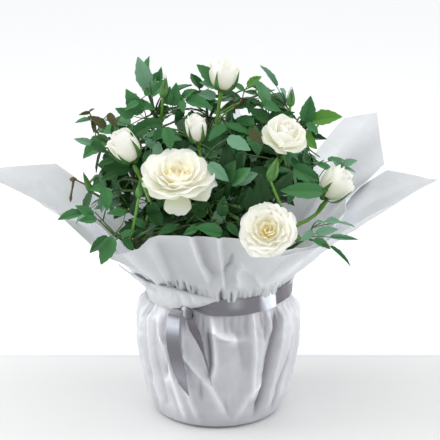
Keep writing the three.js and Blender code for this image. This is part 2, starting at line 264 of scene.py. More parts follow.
def settle(piece, name, finish, replaced=(), smooth=None):
    """Names a piece, gives it its finish and hands it to the frame."""
    piece.name = name
    piece.data.name = name
    piece.data.materials.clear()
    piece.data.materials.append(finish.material)
    make_active(piece)
    bpy.ops.object.transform_apply(location=True, rotation=True, scale=True)
    if smooth is not None:
        bpy.ops.object.shade_smooth_by_angle(angle=math.radians(smooth))
    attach(piece, "root")
    if replaced:
        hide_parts(*replaced)
    print(name, "faces:", len(piece.data.polygons))
    return piece


def apply_modifier(piece, kind, **settings):
    modifier = piece.modifiers.new(kind.lower(), kind)
    for setting, value in settings.items():
        setattr(modifier, setting, value)
    make_active(piece)
    bpy.ops.object.modifier_apply(modifier=modifier.name)


def edit_all(piece):
    make_active(piece)
    bpy.ops.object.mode_set(mode="EDIT")
    bpy.ops.mesh.select_all(action="SELECT")


# %% [markdown]
# ## The finish of the paper
# The paper is a soft film with a pearly skin, pale grey with a breath of lilac. It is smoother than
# plain paper, so folds catch long soft lights, and it is crumpled finely all over. The crumples are a
# Voronoi pattern with a little noise on top, shallow enough to change the light and not the outline.

# %% Paper finish
def paper_finish(name, dark, light, painted_fold_shade, painted_ridge_light, metallic, softness, glow=0.0):
    """Pearly film; the mark "fold" on its points paints shade on it above 0 and paints a highlight on it below
    0.

    A little glow, which is painted light, stands for the daylight that comes through the film where it is
    lightest."""
    paper = Finish(
        name, Metallic=metallic, Emission_Strength=glow,
        Subsurface_Weight=softness, Subsurface_Radius=(1, 1, 1), Subsurface_Scale=0.006,
    )
    tone = paper.ramp(paper.noise(26, 3, 0.55, distortion=0.6), [(0.3, dark), (0.7, light)])
    fold = paper.mark("fold")
    tone = paper.mix(fold, tone, painted_fold_shade)
    paper.set("Base Color", paper.mix(0 - fold, tone, painted_ridge_light))
    if glow:
        paper.set("Emission Color", paper.mix((0 - fold) * 1.6 - 0.5, (0, 0, 0), painted_ridge_light))
    paper.set("Roughness", 0.4 + 0.16 * paper.noise(60, 2))
    folds = paper.node(
        "ShaderNodeTexVoronoi",
        {"feature": "DISTANCE_TO_EDGE"},
        {"Vector": paper.stretched((1, 1, 0.45)), "Scale": 70},
    )
    crinkle = folds ** 0.6 * 0.5 + 0.5 * paper.noise(150, 3, vector=paper.stretched((1, 1, 0.5)))
    paper.bump(crinkle, 0.34, 0.0016)
    return paper


# Each: two tones of the film, then the painted shade colour in folds and the painted highlight colour on
# ridges.
OPEN_COLORS = (0.6, 0.615, 0.635), (0.68, 0.695, 0.72), (0.27, 0.265, 0.28), (0.9, 0.92, 0.95)
BODY_COLORS = (0.5, 0.5, 0.545), (0.62, 0.625, 0.665), (0.25, 0.238, 0.258), (0.92, 0.94, 0.98)
PAPER_OUT = paper_finish("pearl_paper", *BODY_COLORS, 0.2, 0.22)
PAPER_OPEN = paper_finish("pearl_paper_open", *OPEN_COLORS, 0.05, 0.22)
# The inner sheet also carries a little glow: painted light.
PAPER_INSIDE = paper_finish("pearl_paper_inside", *OPEN_COLORS, 0.05, 0.22, glow=0.18)
print("paper finishes ready")

# %% [markdown]
# ## How a sheet is laid
# Each sheet starts as a flat grid, like the real one. A function then says where every point of the
# grid goes, as hands do when they draw paper up round a pot. A real thickness is added at the end.
#
# A crease is a line on the sheet with a sharp crest that fades to both sides, faster on one side than
# on the other where the paper is folded over itself. A list of such lines makes the folds that can be
# recognised, and seeded random ones make those at the back.


# %% Sheets and creases
def mesh_points(mesh):
    points = np.empty(len(mesh.vertices) * 3)
    mesh.vertices.foreach_get("co", points)
    return points.reshape(-1, 3)


def lay_sheet(columns, rows, place, thickness, closed=False, offset=0.0):
    """A grid laid where place(across, up) says; both run from 0 to 1. It may give a fold mark of painted shade
    and highlight too.
    """
    deselect()
    bpy.ops.mesh.primitive_grid_add(x_subdivisions=columns, y_subdivisions=rows, size=1)
    sheet = bpy.context.object
    flat = mesh_points(sheet.data)
    laid = place(flat[:, 0] + 0.5, flat[:, 1] + 0.5)
    points, mark = laid if isinstance(laid, tuple) else (laid, None)
    sheet.data.vertices.foreach_set("co", (points * MM).ravel())
    if mark is not None:
        sheet.data.attributes.new("fold", "FLOAT", "POINT").data.foreach_set("value", mark)
    sheet.data.update()
    if closed:
        edit_all(sheet)
        bpy.ops.mesh.remove_doubles(threshold=0.00001)
        bpy.ops.object.mode_set(mode="OBJECT")
    apply_modifier(sheet, "SOLIDIFY", thickness=thickness * MM, offset=offset, use_even_offset=False)
    return sheet


def around(radius, bearing, height):
    """Points in millimetres from a distance off the axis, a bearing in degrees and a height."""
    turn = np.radians(bearing)
    return np.stack([radius * np.cos(turn), radius * np.sin(turn), height], axis=-1)


def fade(value, start, end):
    """Goes smoothly from 0 at start to 1 at end."""
    share = np.clip((value - start) / (end - start), 0, 1)
    return share * share * (3 - 2 * share)


def bell(value, middle, width):
    """A smooth hump: 1 at the middle, falling off to both sides."""
    return np.exp(-(((value - middle) / width) ** 2))


def by_bearing(table, bearing):
    """Reads a table of (bearing, value) pairs."""
    return np.interp(bearing % 360, *zip(*table))


def crease(bearing, up, line, height, width, lean=0.0, soft=8.0, radius=70.0, power=1.25, span=1.0):
    """The rise of one crease along (bearing, up) points, low to high; up 1 is span millimetres."""
    ups = np.array([point[1] for point in line], float)
    bearings = np.array([point[0] for point in line], float)
    middle = np.interp(up, ups, bearings)
    slope = np.interp(up, (ups[1:] + ups[:-1]) / 2, np.diff(bearings) / np.diff(ups)) / span
    degree = math.radians(1) * radius
    off = ((bearing - middle + 180) % 360 - 180) * degree / np.sqrt(1 + (slope * degree) ** 2)
    # No side is steeper than the grid of the sheet can follow.
    reach = np.maximum(np.where(off < 0, width * (1 - lean), width * (1 + lean)), 1.5)
    ends = fade(up, ups[0] - soft, ups[0] + soft / 2) * (1 - fade(up, ups[-1] - soft / 2, ups[-1] + soft))
    return height * ends * np.exp(-((np.abs(off) / reach) ** power))


def lay_folds(bearing, up, folds, **reach):
    """The rise of many folds together, and the painted shade (above 0) or painted highlight (below 0) that they
    leave on the sheet.
    """
    rise, mark = np.zeros_like(up), np.zeros_like(up)
    for line, height, width, lean, shade in folds:
        rise += crease(bearing, up, line, height, width, lean, **reach)
        mark += crease(bearing, up, line, 1.25 * shade, width, lean, power=1.6, **reach)
    return rise, mark


def crumple(points, size, depth, seed):
    """Small facets: the nearness of scattered points, as crushed paper shows."""
    place = Vector((seed * 7.1, seed * 3.3, seed * 5.7))
    rise = []
    for point in points:
        near, next_near = noise.voronoi(Vector(point) / size + place)[0][:2]
        rise.append(next_near - near)
    return depth * (np.array(rise) - 0.3)


# %% [markdown]
# ## The wrapped pot
# The outer sheet is drawn up round the pot, from a flat foot to the ribbon. Its outline is a table of
# heights and radii. Long creases run down from the ribbon and meet low at the front. Fine gathers
# press together just under the ribbon and die out below it.

# %% Outline and creases of the wrapped pot
BODY = [
    (0, 54), (3, 58.5), (17, 63.5), (35, 67), (55, 70), (80, 72), (92, 71.4), (100, 69.6), (106, 67.8),
    (110, 67), (125, 66.6),
]
BODY_HEIGHTS, BODY_RADII = np.array(BODY, float).T
# The paper never dips inside the pot that it wraps, nor under its rim.
POT_ROOM = [(0, 49), (3, 50), (93, 62.6), (94, 66), (109, 66), (110, 62.8), (125, 62.8)]
POT_HEIGHTS, POT_CLEARANCE = np.array(POT_ROOM, float).T

# Each fold: its line as (bearing, height) points from low to high, rise, width, lean, and shade: painted shade
# above 0, painted highlight below 0.
FRONT_FOLDS = [
    ([(303, 2), (308, 27), (309.5, 47), (310, 69), (314, 88), (319, 106)], -4.6, 4.5, 0.2, 0.85),
    ([(316, 14), (318, 60), (321, 88), (324, 108)], 3.4, 5, 0.4, -0.35),
    ([(330, 20), (333, 60), (336, 108)], 2.2, 9, 0.0, -0.3),
    ([(264, 54), (265.5, 65), (265, 78), (263.5, 94)], -3.0, 1.8, -0.2, 0.75),
    ([(267.2, 54), (268.8, 66), (268.2, 80), (266.8, 98)], 2.6, 1.6, 0.3, -0.5),
    ([(228, 50), (230.5, 60), (230, 84)], -2.4, 3, 0.0, 0.5),
    ([(209, 40), (210.5, 62), (211.5, 85), (208, 107)], -3.0, 3.4, 0.3, 0.35),
    ([(258, 34), (257.5, 46)], -1.6, 2, 0.0, 0.5),
    ([(326, 4), (326.5, 12), (327, 34), (332, 54), (336, 76)], -3.2, 2.6, 0.2, 0.5),
    ([(280, 5), (276.5, 25)], -1.5, 2.6, 0.0, 0.35),
    ([(243.5, 2), (243.5, 15.5), (240.5, 32), (237, 51.5), (233.5, 68), (229, 84.5), (224, 107)],
     4.8, 3.2, -0.4, -0.75),
    ([(255, 3), (252.5, 18.5), (249, 33), (247.5, 49.5)], 3.2, 3, -0.3, -0.5),
    ([(247.5, 52), (246, 71), (244.5, 97)], 1.2, 1.6, 0.0, -0.4),
    ([(213, 3), (214.5, 18.5), (211, 33), (211, 46.5), (212.5, 64.5), (214, 84.5), (214, 107)],
     4.2, 3.6, 0.3, -0.5),
    ([(261, 50.5), (252, 63.5), (246.5, 71)], 2.4, 2.6, 0.2, -0.4),
    ([(281.5, 5), (277, 16), (270, 31.5), (263.5, 48.5)], 3.2, 3.0, -0.3, -0.5),
    ([(283.5, 5), (288, 17.5), (296, 33), (305, 42)], 3.0, 3.4, 0.3, -0.45),
    ([(281, 87), (273.5, 91), (267, 96.5), (266, 107)], 4.0, 3.0, 0.5, -0.95),
    ([(298.5, 30), (298.5, 72), (297.5, 93.5), (298, 110)], 2.0, 2.2, 0.0, -0.5),
    ([(303, 30), (304, 60), (304, 84)], 1.2, 6.0, 0.0, -0.35),
    ([(290, 62), (287, 84), (280, 104)], -2.0, 4.0, 0.4, 0.25),
    ([(306, 86), (308, 110)], -1.6, 2.0, 0.0, 0.35),
    ([(312, 90), (314, 110)], 1.8, 2.0, 0.0, -0.35),
    ([(292, 94), (291, 110)], -1.6, 2.4, 0.0, 0.25),
    ([(226, 41), (232, 48)], 1.4, 3.0, 0.0, -0.6),
    ([(221, 18), (220, 50), (221, 96)], -1.8, 4, 0.3, 0.2),
    ([(236, 8), (231, 34)], -1.4, 3, 0.0, 0.25),
    ([(198, 2), (203, 50), (199, 106)], 3.0, 6, -0.4, -0.3),
    ([(346, 2), (350, 40), (346, 106)], 3.0, 6, 0.5, -0.3),
]


# Light and shade painted by bearing: brightest at the left front, greyest in the middle.
BODY_PAINTED_LIGHT = [
    (0, -0.1), (190, -0.1), (204, -0.14), (222, -0.26), (238, -0.3), (249, -0.06), (300, 0.02), (318, 0.04),
    (336, -0.16), (360, -0.1),
]


def random_folds(seed, first, last, count, rise, shade):
    """Folds for the sides that don't face the front, a few of them slanting."""
    draw = random.Random(seed)
    made = []
    for i in range(count):
        bearing = first + (last - first) * (i + draw.uniform(0.2, 0.8)) / count
        low, high = (draw.uniform(0, 20), draw.uniform(60, 108)) if i % 3 else (draw.uniform(0, 8), 108)
        bend, slant = draw.uniform(-5, 5), draw.uniform(-9, 9)
        line = [(bearing + slant, low), (bearing + bend, (low + high) / 2), (bearing - slant / 2, high)]
        size = draw.uniform(0.6, 1.2)
        made.append((line, rise * size, draw.uniform(2.6, 5), draw.uniform(-0.7, 0.7), shade * size))
    return made


# Ridges get a painted highlight and valleys painted shade.
BACK_FOLDS = random_folds(11, -6, 192, 17, 4.4, -0.5) + random_folds(12, -2, 190, 11, -3.4, 0.6)
print("folds on the wrapped pot:", len(FRONT_FOLDS) + len(BACK_FOLDS))


# %% The wrapped pot
def gathers(bearing, seed, count):
    """Uneven pleats all round, pressed together by the ribbon."""
    turn = np.radians(bearing)
    uneven = turn * count + 2.2 * np.sin(5 * turn + seed) + 1.3 * np.sin(11 * turn + 2 * seed)
    return np.abs(np.sin(uneven / 2)) * 2 - 1.2


# The bearing at the left where the paper is tied loosest.
LOOSE_SIDE = 187


def neck_in(bearing):
    """How much closer the ribbon pulls the neck at the left."""
    return 3.4 * bell(np.asarray(bearing), LOOSE_SIDE, 27)


def flare_start(bearing):
    """The height where the paper leaves the tie and opens out; lower at the left, where it is loose."""
    return 130.5 - 10 * bell(np.asarray(bearing), LOOSE_SIDE, 24)


def body_place(across, up):
    foot_share = 0.06
    bearing = across * 360
    height = np.clip((up - foot_share) / (1 - foot_share), 0, 1) * 125
    radius = np.interp(height, BODY_HEIGHTS, BODY_RADII)
    radius = np.where(up < foot_share, 54 * up / foot_share, radius)
    turn = np.radians(bearing)
    off_foot = fade(height, 1.5, 22)
    below_tie = 1 - fade(height, 98, 110)
    wander = 1.3 * np.cos(4 * turn + 0.6 + height / 60) + 0.9 * np.cos(7 * turn + 2 - height / 45)
    shoulder = (2.6 * fade(np.cos(turn), 0.2, 1) + 2.8 * fade(-np.cos(turn), 0.3, 0.9)) * fade(height, 30, 75)
    fall, mark = lay_folds(bearing, height, FRONT_FOLDS + BACK_FOLDS)
    pressed = gathers(bearing, 1.0, 46) * fade(height, 88, 106)
    fall += 1.1 * pressed + 0.5 * gathers(bearing, 3.0, 82) * fade(height, 94, 108)
    # Painted shade in the pressed gathers, and light and shade painted by bearing below the tie.
    mark += 0.3 * np.clip(-pressed, 0, 1) + by_bearing(BODY_PAINTED_LIGHT, bearing) * below_tie
    fold_room = 0.2 + 0.8 * below_tie
    radius = radius + off_foot * ((wander + shoulder) * below_tie + (fall - 1.6) * fold_room)
    radius = radius - neck_in(bearing) * fade(height, 100, 110) * np.where(height < 109, 0.4, 1)
    points = around(radius, bearing, height)
    rough = crumple(points, 15.0, 1.5, 1) + crumple(points, 6.0, 0.3, 2)
    rough *= off_foot * below_tie
    inside = np.interp(height, POT_HEIGHTS, POT_CLEARANCE)
    radius = np.where(height > 0, np.maximum(radius + rough, inside), radius)
    return around(radius, bearing, height), mark * off_foot


body_paper = lay_sheet(480, 98, body_place, 0.5, closed=True, offset=-1)
settle(body_paper, "paper_round_pot", PAPER_OUT, ["wrap_body"], smooth=38)
print("widest:", round(body_paper.dimensions.x / MM, 1), "mm")

# %% [markdown]
# ## The open paper
# Above the ribbon the two square sheets open out. Their corners stand out as wings: the outer sheet's
# to the left, the right and the back, and the inner sheet's to the back right. Each sheet is ruled
# from the tie to its own straight edges, so the edges stay crisp between one corner and the next.

# %% Edges of the two sheets
# Corners of each edge: bearing, distance from the axis and height.
OUTER_EDGE = [
    (0, 197, 216), (22, 172, 208), (31, 150, 180), (40, 128, 176), (58, 128, 168), (70, 128, 176),
    (84, 168, 260),
    (104, 125, 200), (126, 122, 176), (142, 148, 176), (154, 169, 212), (180, 216, 225), (207, 154, 207),
    (212, 139, 188), (220, 125, 168), (231, 105, 176), (236, 102, 186), (241, 100, 189.5), (257, 96, 191),
    (283, 92, 187), (305, 98, 169), (315, 112, 174), (331, 144, 199),
]
INNER_EDGE = [
    (0, 115.6, 198.5), (18, 144, 201), (31, 187, 206), (42, 210, 248), (50, 195, 240), (58, 166, 193),
    (74, 114, 190), (84, 102, 196), (97, 101, 190), (110, 104, 185), (136, 122, 206),
    (160, 118, 187), (190, 124, 194), (204, 114, 190),
    (215, 112, 182), (229, 103.5, 174), (234, 98, 179), (240, 95.5, 184.5), (257, 92, 187),
    (283, 88, 183.5), (300, 92, 172), (314, 106, 174.5),
    (327, 110.5, 178), (345, 116, 195.7),
]
TIE_RADIUS, TIE_HEIGHT = 66.6, 119.0
FILM_THICKNESS = 0.35


def edge_at(edge, bearing):
    """Distance and height of an edge's straight run at each bearing."""
    corners = np.array([*edge, (edge[0][0] + 360, *edge[0][1:])], float)
    turn = np.asarray(bearing, float) % 360
    index = np.clip(np.searchsorted(corners[:, 0], turn, side="right") - 1, 0, len(edge) - 1)
    start, end = corners[index], corners[index + 1]
    plan = lambda corner: around(corner[:, 1], corner[:, 0], 0 * corner[:, 0])[:, :2]
    first, run = plan(start), plan(end) - plan(start)
    ray = around(np.ones_like(turn), turn, 0 * turn)[:, :2]
    cross = lambda a, b: a[:, 0] * b[:, 1] - a[:, 1] * b[:, 0]
    share = -cross(first, ray) / cross(run, ray)
    radius = np.sum((first + run * share[:, None]) * ray, axis=1)
    return radius, start[:, 2] + share * (end[:, 2] - start[:, 2])


def stations(edge, columns):
    """Bearings for the columns of a grid, with one exactly on each corner."""
    marks = [corner[0] for corner in edge] + [edge[0][0] + 360]
    counts = [max(2, round(columns * (after - before) / 360)) for before, after in zip(marks, marks[1:])]
    steps = [np.linspace(a, b, n, endpoint=False) for a, b, n in zip(marks, marks[1:], counts)]
    return np.concatenate([*steps, [marks[-1]]])


# Folds of the open paper, as (bearing, share of the way to the edge) points, rise, width, lean and shade:
# painted shade above 0, painted highlight below 0.
OPEN_FOLDS = [
    ([(265.5, 0.3), (262.5, 0.47), (259.5, 0.73), (259, 0.86), (257.5, 1)], 3.4, 3, 0.0, -0.15),
    ([(267.5, 0.42), (263, 0.6), (261, 0.8), (259, 1)], -0.8, 4.5, 0.85, 0.7),
    ([(264, 0.4), (260.5, 0.6), (258.5, 0.8), (257, 1)], 0.0, 1.2, 0.0, -0.6),
    ([(274.5, 0.22), (273.5, 0.47), (272, 0.74), (271, 1)], 3.2, 1.8, 0.0, -0.75),
    ([(276.5, 0.22), (275.5, 0.47), (274, 0.74), (273, 1)], -1.2, 8, 0.9, 0.3),
    ([(275.5, 0.5), (278.5, 0.58), (279.5, 0.7)], -2.0, 2.2, 0.0, 0.5),
    ([(285, 0.2), (282.5, 0.42), (284, 0.58)], 3.4, 3.4, 0.8, -0.55),
    ([(302, 0.22), (293.5, 0.46), (284, 0.58)], 2.0, 3, -0.6, 0.2),
    ([(308.5, 0.5), (318, 1)], 3.0, 1.6, 0.0, -0.6),
    ([(304, 0.3), (311, 1)], -2.0, 6, 0.0, 0.15),
    ([(228, 0.2), (226.5, 1)], 3.0, 2.2, 0.0, -0.6),
    ([(221, 0.25), (219, 1)], -2.2, 3, 0.4, 0.35),
    ([(235, 0.32), (234.5, 0.9)], 2.8, 2.4, 0.3, -0.4),
    ([(238, 0.3), (238.5, 0.9)], -1.0, 5, 0.8, 0.3),
    ([(250, 0.2), (246, 0.7)], 1.6, 7, 0.0, 0.1),
    ([(338, 0), (344, 1)], 3.4, 6, 0.4, -0.2),
    ([(10, 0), (4, 1)], 3.4, 7, 0.0, -0.2),
    ([(30, 0), (36, 1)], -3.0, 6, 0.3, 0.3),
    ([(45, 0), (42, 1)], 3.4, 7, 0.2, -0.3),
    ([(62, 0), (66, 1)], 2.6, 6, -0.4, 0.2),
    ([(86, 0), (84, 1)], 3.2, 7, 0.0, -0.3),
    ([(112, 0), (118, 1)], 3.2, 5, 0.5, 0.3),
    ([(148, 0), (144, 1)], 3.2, 6, 0.5, -0.3),
    ([(176, 0), (180, 1)], 3.4, 8, 0.2, 0.15),
    ([(204, 0), (203, 1)], 3.6, 6, 0.4, -0.2),
]
# Where the neck's dark crevices lie, sunk in and painted with shade: bearings, and their share of the way to
# the edge.
CREVICES = [(0, 0.13), (215, 0.2), (233, 0.25), (246, 0.24), (256, 0.19), (266, 0.15), (274, 0.13), (303, 0.13),
            (318, 0.22), (335, 0.15), (360, 0.13)]
# Light and shade painted by bearing: lilac grey at the front left, brightest at the front right.
SIDE_PAINTED_LIGHT = [
    (0, 0.04), (150, 0.04), (180, -0.28), (204, -0.25), (214, -0.14), (230, -0.1), (245, -0.03), (262, 0.0),
    (276, -0.15), (290, -0.4), (322, -0.45), (345, -0.1), (360, 0.04),
]


# Painted light inside the mouth: how much it lightens the paper, where beside the front it starts and is full,
# and the distance off the axis from which it stops short of the edge.
OUTER_PAINTED_LIGHT, INNER_PAINTED_LIGHT = (0.5, 0.5, 0.9, 60), (1.15, 0.35, 0.75, 125)


def open_place(edge, columns, inset, seed, folds, light):
    bearings = stations(edge, columns)
    painted_light_amount, beside_from, beside_full, wing_from = light

    def place(across, up):
        bearing = np.interp(across * (len(bearings) - 1), np.arange(len(bearings)), bearings)
        rim_radius, rim_height = edge_at(edge, bearing)
        foot_radius = TIE_RADIUS - inset - neck_in(bearing)
        flare_radius, flare_height = foot_radius + 2.5, flare_start(bearing)
        rise, run = rim_height - flare_height, rim_radius - flare_radius
        slope = np.arctan2(rise, run)
        open_up = np.clip((up - 0.14) / 0.86, 0, 1)
        radius = foot_radius + 2.5 * np.clip((up - 0.06) / 0.08, 0, 1) + run * open_up
        height = np.interp(up, [0, 0.14], [0, 1]) * (flare_height - 111) + 111 + rise * open_up
        # A wing rises from the neck, then bends out flat towards its corner.
        bow = open_up * (1 - open_up)
        radius, height = radius - 9 * bow * (1 - open_up), height + 9 * bow * (1 - open_up)
        height = height + 4 * bow * np.clip(0.17 * (rim_radius - 118), 0, 14)
        out, mark = lay_folds(bearing, up, folds, soft=0.12, radius=85.0, span=70.0)
        out *= 1.3 * fade(up, 0.08, 0.35) * (1 - 0.5 * fade(up, 0.6, 1.1))
        turn = np.radians(bearing)
        front = fade(-np.sin(turn), 0.55, 0.9)
        mark *= fade(up, 0.1, 0.3) * (1 - 0.3 * front)
        pressed = gathers(bearing, seed, 44)
        uneven = 0.3 + 0.7 * fade(np.sin(6 * turn + 2 * np.sin(4 * turn) + seed), -0.5, 0.6)
        pressed *= uneven
        out += 2.2 * pressed * fade(up, 0.06, 0.11) * (1 - fade(up, 0.13, 0.2 + 0.16 * uneven))
        out += 0.8 * gathers(bearing, seed + 2, 90) * fade(up, 0.06, 0.1) * (1 - fade(up, 0.12, 0.26))
        crevice = bell(up, by_bearing(CREVICES, bearing), 0.045)
        deep = np.clip(-gathers(bearing + 5 * up, seed + 1, 58), 0, 1) * crevice * (0.25 + 0.75 * uneven)
        out -= 2.4 * deep
        # Painted shade in the crevices and pressed gathers, light and shade painted by bearing, and painted
        # light inside the mouth.
        mark += 0.9 * deep + 0.2 * np.clip(-pressed, 0, 1) * (1 - fade(up, 0.15, 0.35))
        mark += by_bearing(SIDE_PAINTED_LIGHT, bearing) * fade(up, 0.05, 0.3)
        beside = fade(np.abs(np.cos(turn)), beside_from, beside_full)
        wing = fade(rim_radius, wing_from, wing_from + 40)
        mark -= painted_light_amount * beside * fade(up, 0.05, 0.25) * (1 - wing * fade(up, 0.4, 0.8))
        out += 2.2 * np.sin(9 * turn + seed + 2 * up) * up * (1 - up) * 2
        points = around(radius, bearing, height)
        loose = fade(up, 0.05, 0.3) * (0.4 + 0.6 * (1 - up))
        facets = crumple(points, 19.0, 1.6, seed) * (1 - 0.6 * front)
        out += (facets + crumple(points, 7.0, 0.4, seed + 1)) * loose
        # Raised facets get a faint painted highlight.
        mark -= 0.08 * facets * loose
        return points + around(out * np.sin(slope), bearing, -out * np.cos(slope)), mark

    return len(bearings) - 1, place


PANELS = nodes_named("wing_", "collar_")
columns, place = open_place(OUTER_EDGE, 480, 0.0, 3, OPEN_FOLDS, OUTER_PAINTED_LIGHT)
outer_paper = lay_sheet(columns, 60, place, FILM_THICKNESS, closed=True, offset=0)
settle(outer_paper, "paper_outer_sheet", PAPER_OPEN, PANELS, smooth=38)
columns, place = open_place(INNER_EDGE, 360, 2.2, 3, OPEN_FOLDS, INNER_PAINTED_LIGHT)
inner_paper = lay_sheet(columns, 44, place, FILM_THICKNESS, closed=True, offset=0)
settle(inner_paper, "paper_inner_sheet", PAPER_INSIDE, PANELS, smooth=38)
print("wing span:", round(outer_paper.dimensions.x / MM), "mm")

# %% [markdown]
# ## The fold over the ribbon
# At the left front the paper puffs out over the ribbon and hides it. It is a short strip that starts
# in the gathers, swells outwards and tucks back in under its own lower edge.

# %% Puffed fold
CUFF_FROM, CUFF_SPAN = 182, 90
# Lower and upper edge of the fold, as (bearing, height).
CUFF_LOW = [
    (182, 122), (192, 116.5), (208, 115), (224, 113.6), (238, 113.2), (245, 114.5), (250, 116.5), (261, 120.5),
    (272, 125.6),
]
CUFF_HIGH = [
    (182, 138), (192, 140), (208, 138), (224, 135.5), (238, 134.5), (250, 132), (261, 129), (272, 126.6),
]


def cuff_place(across, up):
    bearing = CUFF_FROM + across * CUFF_SPAN
    middle = fade(bearing, 196, 224) * (1 - fade(bearing, 252, 272))
    low, high = by_bearing(CUFF_LOW, bearing), by_bearing(CUFF_HIGH, bearing)
    roll = np.pi * up
    height = low + (high - low) * (1 - np.cos(roll)) / 2
    swell = (1.5 + 4.4 * middle) * np.sin(roll) ** 0.7
    turn = np.radians(bearing)
    # Each pleat starts in the neck above and opens as it comes down to the right.
    wave = np.sin(turn * 17 + 2.2 * up + 1.5 * np.sin(turn * 7))
    pleats = 1.7 * np.abs(wave) * np.sin(roll) ** 0.5
    # Painted shade in the pleat creases, at the lower edge and at the top, and a painted highlight on the
    # swell.
    mark = 0.4 * np.clip(0.3 - np.abs(wave), 0, 1)
    mark = mark + 0.25 * fade(up, 0.25, 0.0) * fade(np.sin(turn * 4 + 1), -0.2, 0.8)
    mark = mark + 0.25 * fade(up, 0.88, 1.0) - 0.35 * bell(up, 0.6, 0.25) * middle
    rim_radius, rim_height = edge_at(OUTER_EDGE, bearing)
    above = height - flare_start(bearing)
    opening = (rim_radius - 70) / (rim_height - flare_start(bearing))
    flare = 1.5 * fade(above, -3, 1) + opening * np.clip(above, 0, None)
    points = around(67.9 - neck_in(bearing) + flare + swell + pleats * middle, bearing, height)
    return points + around(crumple(points, 8.0, 1.2, 5), bearing, 0 * height), mark


cuff = lay_sheet(150, 20, cuff_place, FILM_THICKNESS, offset=0)
settle(cuff, "paper_puffed_fold", PAPER_OPEN, ["wrap_cuff"], smooth=40)

# %% [markdown]
# ## The satin ribbon
# The ribbon is woven satin, mid grey with a lilac cast, and it flashes white where it turns to the light; that
# flash is partly a painted highlight, and its mark also paints shade in its pleats and at its right end. Fine
# threads run along it. The weave is a stretched noise that only moves the roughness and a shallow bump, because
# real satin hides its threads at arm's length.

# %% Ribbon finish and ribbon
satin = Finish("satin_ribbon", Metallic=0.5, Roughness=0.3)
satin_threads = satin.noise(260, 2, vector=satin.stretched((0.06, 1, 1), "UV"))
# The mark "fold" paints the satin: painted shade above 0, painted highlight below 0.
satin_painted_light = satin.mark("fold")
satin_tone = satin.ramp(satin_threads, [(0.35, (0.165, 0.158, 0.18)), (0.65, (0.215, 0.206, 0.235))])
satin_tone = satin.mix(satin_painted_light, satin_tone, (0.1, 0.09, 0.105))
satin.set("Base Color", satin.mix(0 - satin_painted_light, satin_tone, (0.72, 0.76, 0.86)))
satin.set("Roughness", 0.3 + 0.14 * satin_threads)
satin.bump(satin_threads, 0.12, 0.0004)

RIBBON_MIDDLE = 117.0
RIBBON_WIDTH = 15.0
SATIN_THICKNESS = 0.35
KNOT_BEARING = 249.5
FLASH_BEARINGS = (305, 319)


def band_place(across, up):
    bearing = across * 360
    turn = np.radians(bearing)
    near_knot = bell(bearing, KNOT_BEARING, 9)
    under_fold = bell(bearing, 206, 31)
    width = RIBBON_WIDTH * (1 - 0.7 * near_knot) * (1 - 0.5 * under_fold)
    height = RIBBON_MIDDLE + (up - 0.5) * width
    height = height + 0.7 * np.sin(3 * turn + 1) + 0.4 * np.sin(7 * turn) + 1.2 * near_knot
    height = height + 4.5 * np.clip(np.cos(turn - math.radians(350)), 0, 1) ** 1.5 + 6 * under_fold
    cup = 0.5 * np.abs(up - 0.5) * np.sin(13 * turn + 3 * up)
    pull = 0.35 * np.sin(turn * 31 + 2 * up) * np.abs(up - 0.5)
    drawn_in = bell(bearing, KNOT_BEARING, 16)
    pleat = 0.9 * drawn_in * np.sin(up * 11 + bearing / 9)
    # The ribbon turns over once at the right: that stretch faces up and flashes, with a painted highlight on
    # it.
    flash = fade(bearing, FLASH_BEARINGS[0] - 3.5, FLASH_BEARINGS[0] + 3.5)
    flash = flash * (1 - fade(bearing, FLASH_BEARINGS[1] - 0.8, FLASH_BEARINGS[1] + 0.8))
    lean = 3.4 * flash * (0.5 - up)
    # Painted highlight on the flash, painted shade in the pleats by the knot, a little painted light at bearing
    # 284 and painted shade at the dark right end.
    mark = -0.8 * flash + 0.8 * near_knot * np.clip(np.sin(up * 11 + bearing / 9), 0, 1)
    mark = mark - 0.25 * bell(bearing, 284, 5) * fade(up, 0.2, 0.6)
    mark = mark + 0.5 * fade(bearing, 318.5, 321) * (1 - fade(bearing, 345, 360))
    lean = lean + 1.6 * fade(height, 125, 131)
    return around(68.5 - neck_in(bearing) + cup + pull + pleat + lean, bearing, height), mark


band = lay_sheet(300, 12, band_place, SATIN_THICKNESS, closed=True, offset=1)
settle(band, "ribbon_round_neck", satin, ["ribbon_band"], smooth=50)


def tail_place(line, widths, stands_off, twist, painted_shades):
    """A strip that hangs along (bearing, height) points; its width, distance off, twist and painted shade
    change.
    """
    steps = np.linspace(0, 1, len(line))

    def place(across, up):
        down = 1 - up
        bearing = np.interp(down, steps, [point[0] for point in line])
        height = np.interp(down, steps, [point[1] for point in line])
        width = np.interp(down, steps, widths)
        away = np.interp(down, steps, stands_off)
        turned = np.radians(np.interp(down, steps, twist))
        side = (across - 0.5) * width
        cut = (across - 0.5) * 9 * fade(down, 0.8, 1)
        base = np.interp(height, BODY_HEIGHTS, BODY_RADII) + away
        wave = 0.5 * np.sin(down * 14) * (across - 0.3) + 0.8 * (across - 0.5) ** 2
        radius = base + side * np.sin(turned) + wave
        degrees = bearing + np.degrees(side * np.cos(turned) / base)
        return around(radius, degrees, height - cut), np.interp(down, steps, painted_shades)

    return place


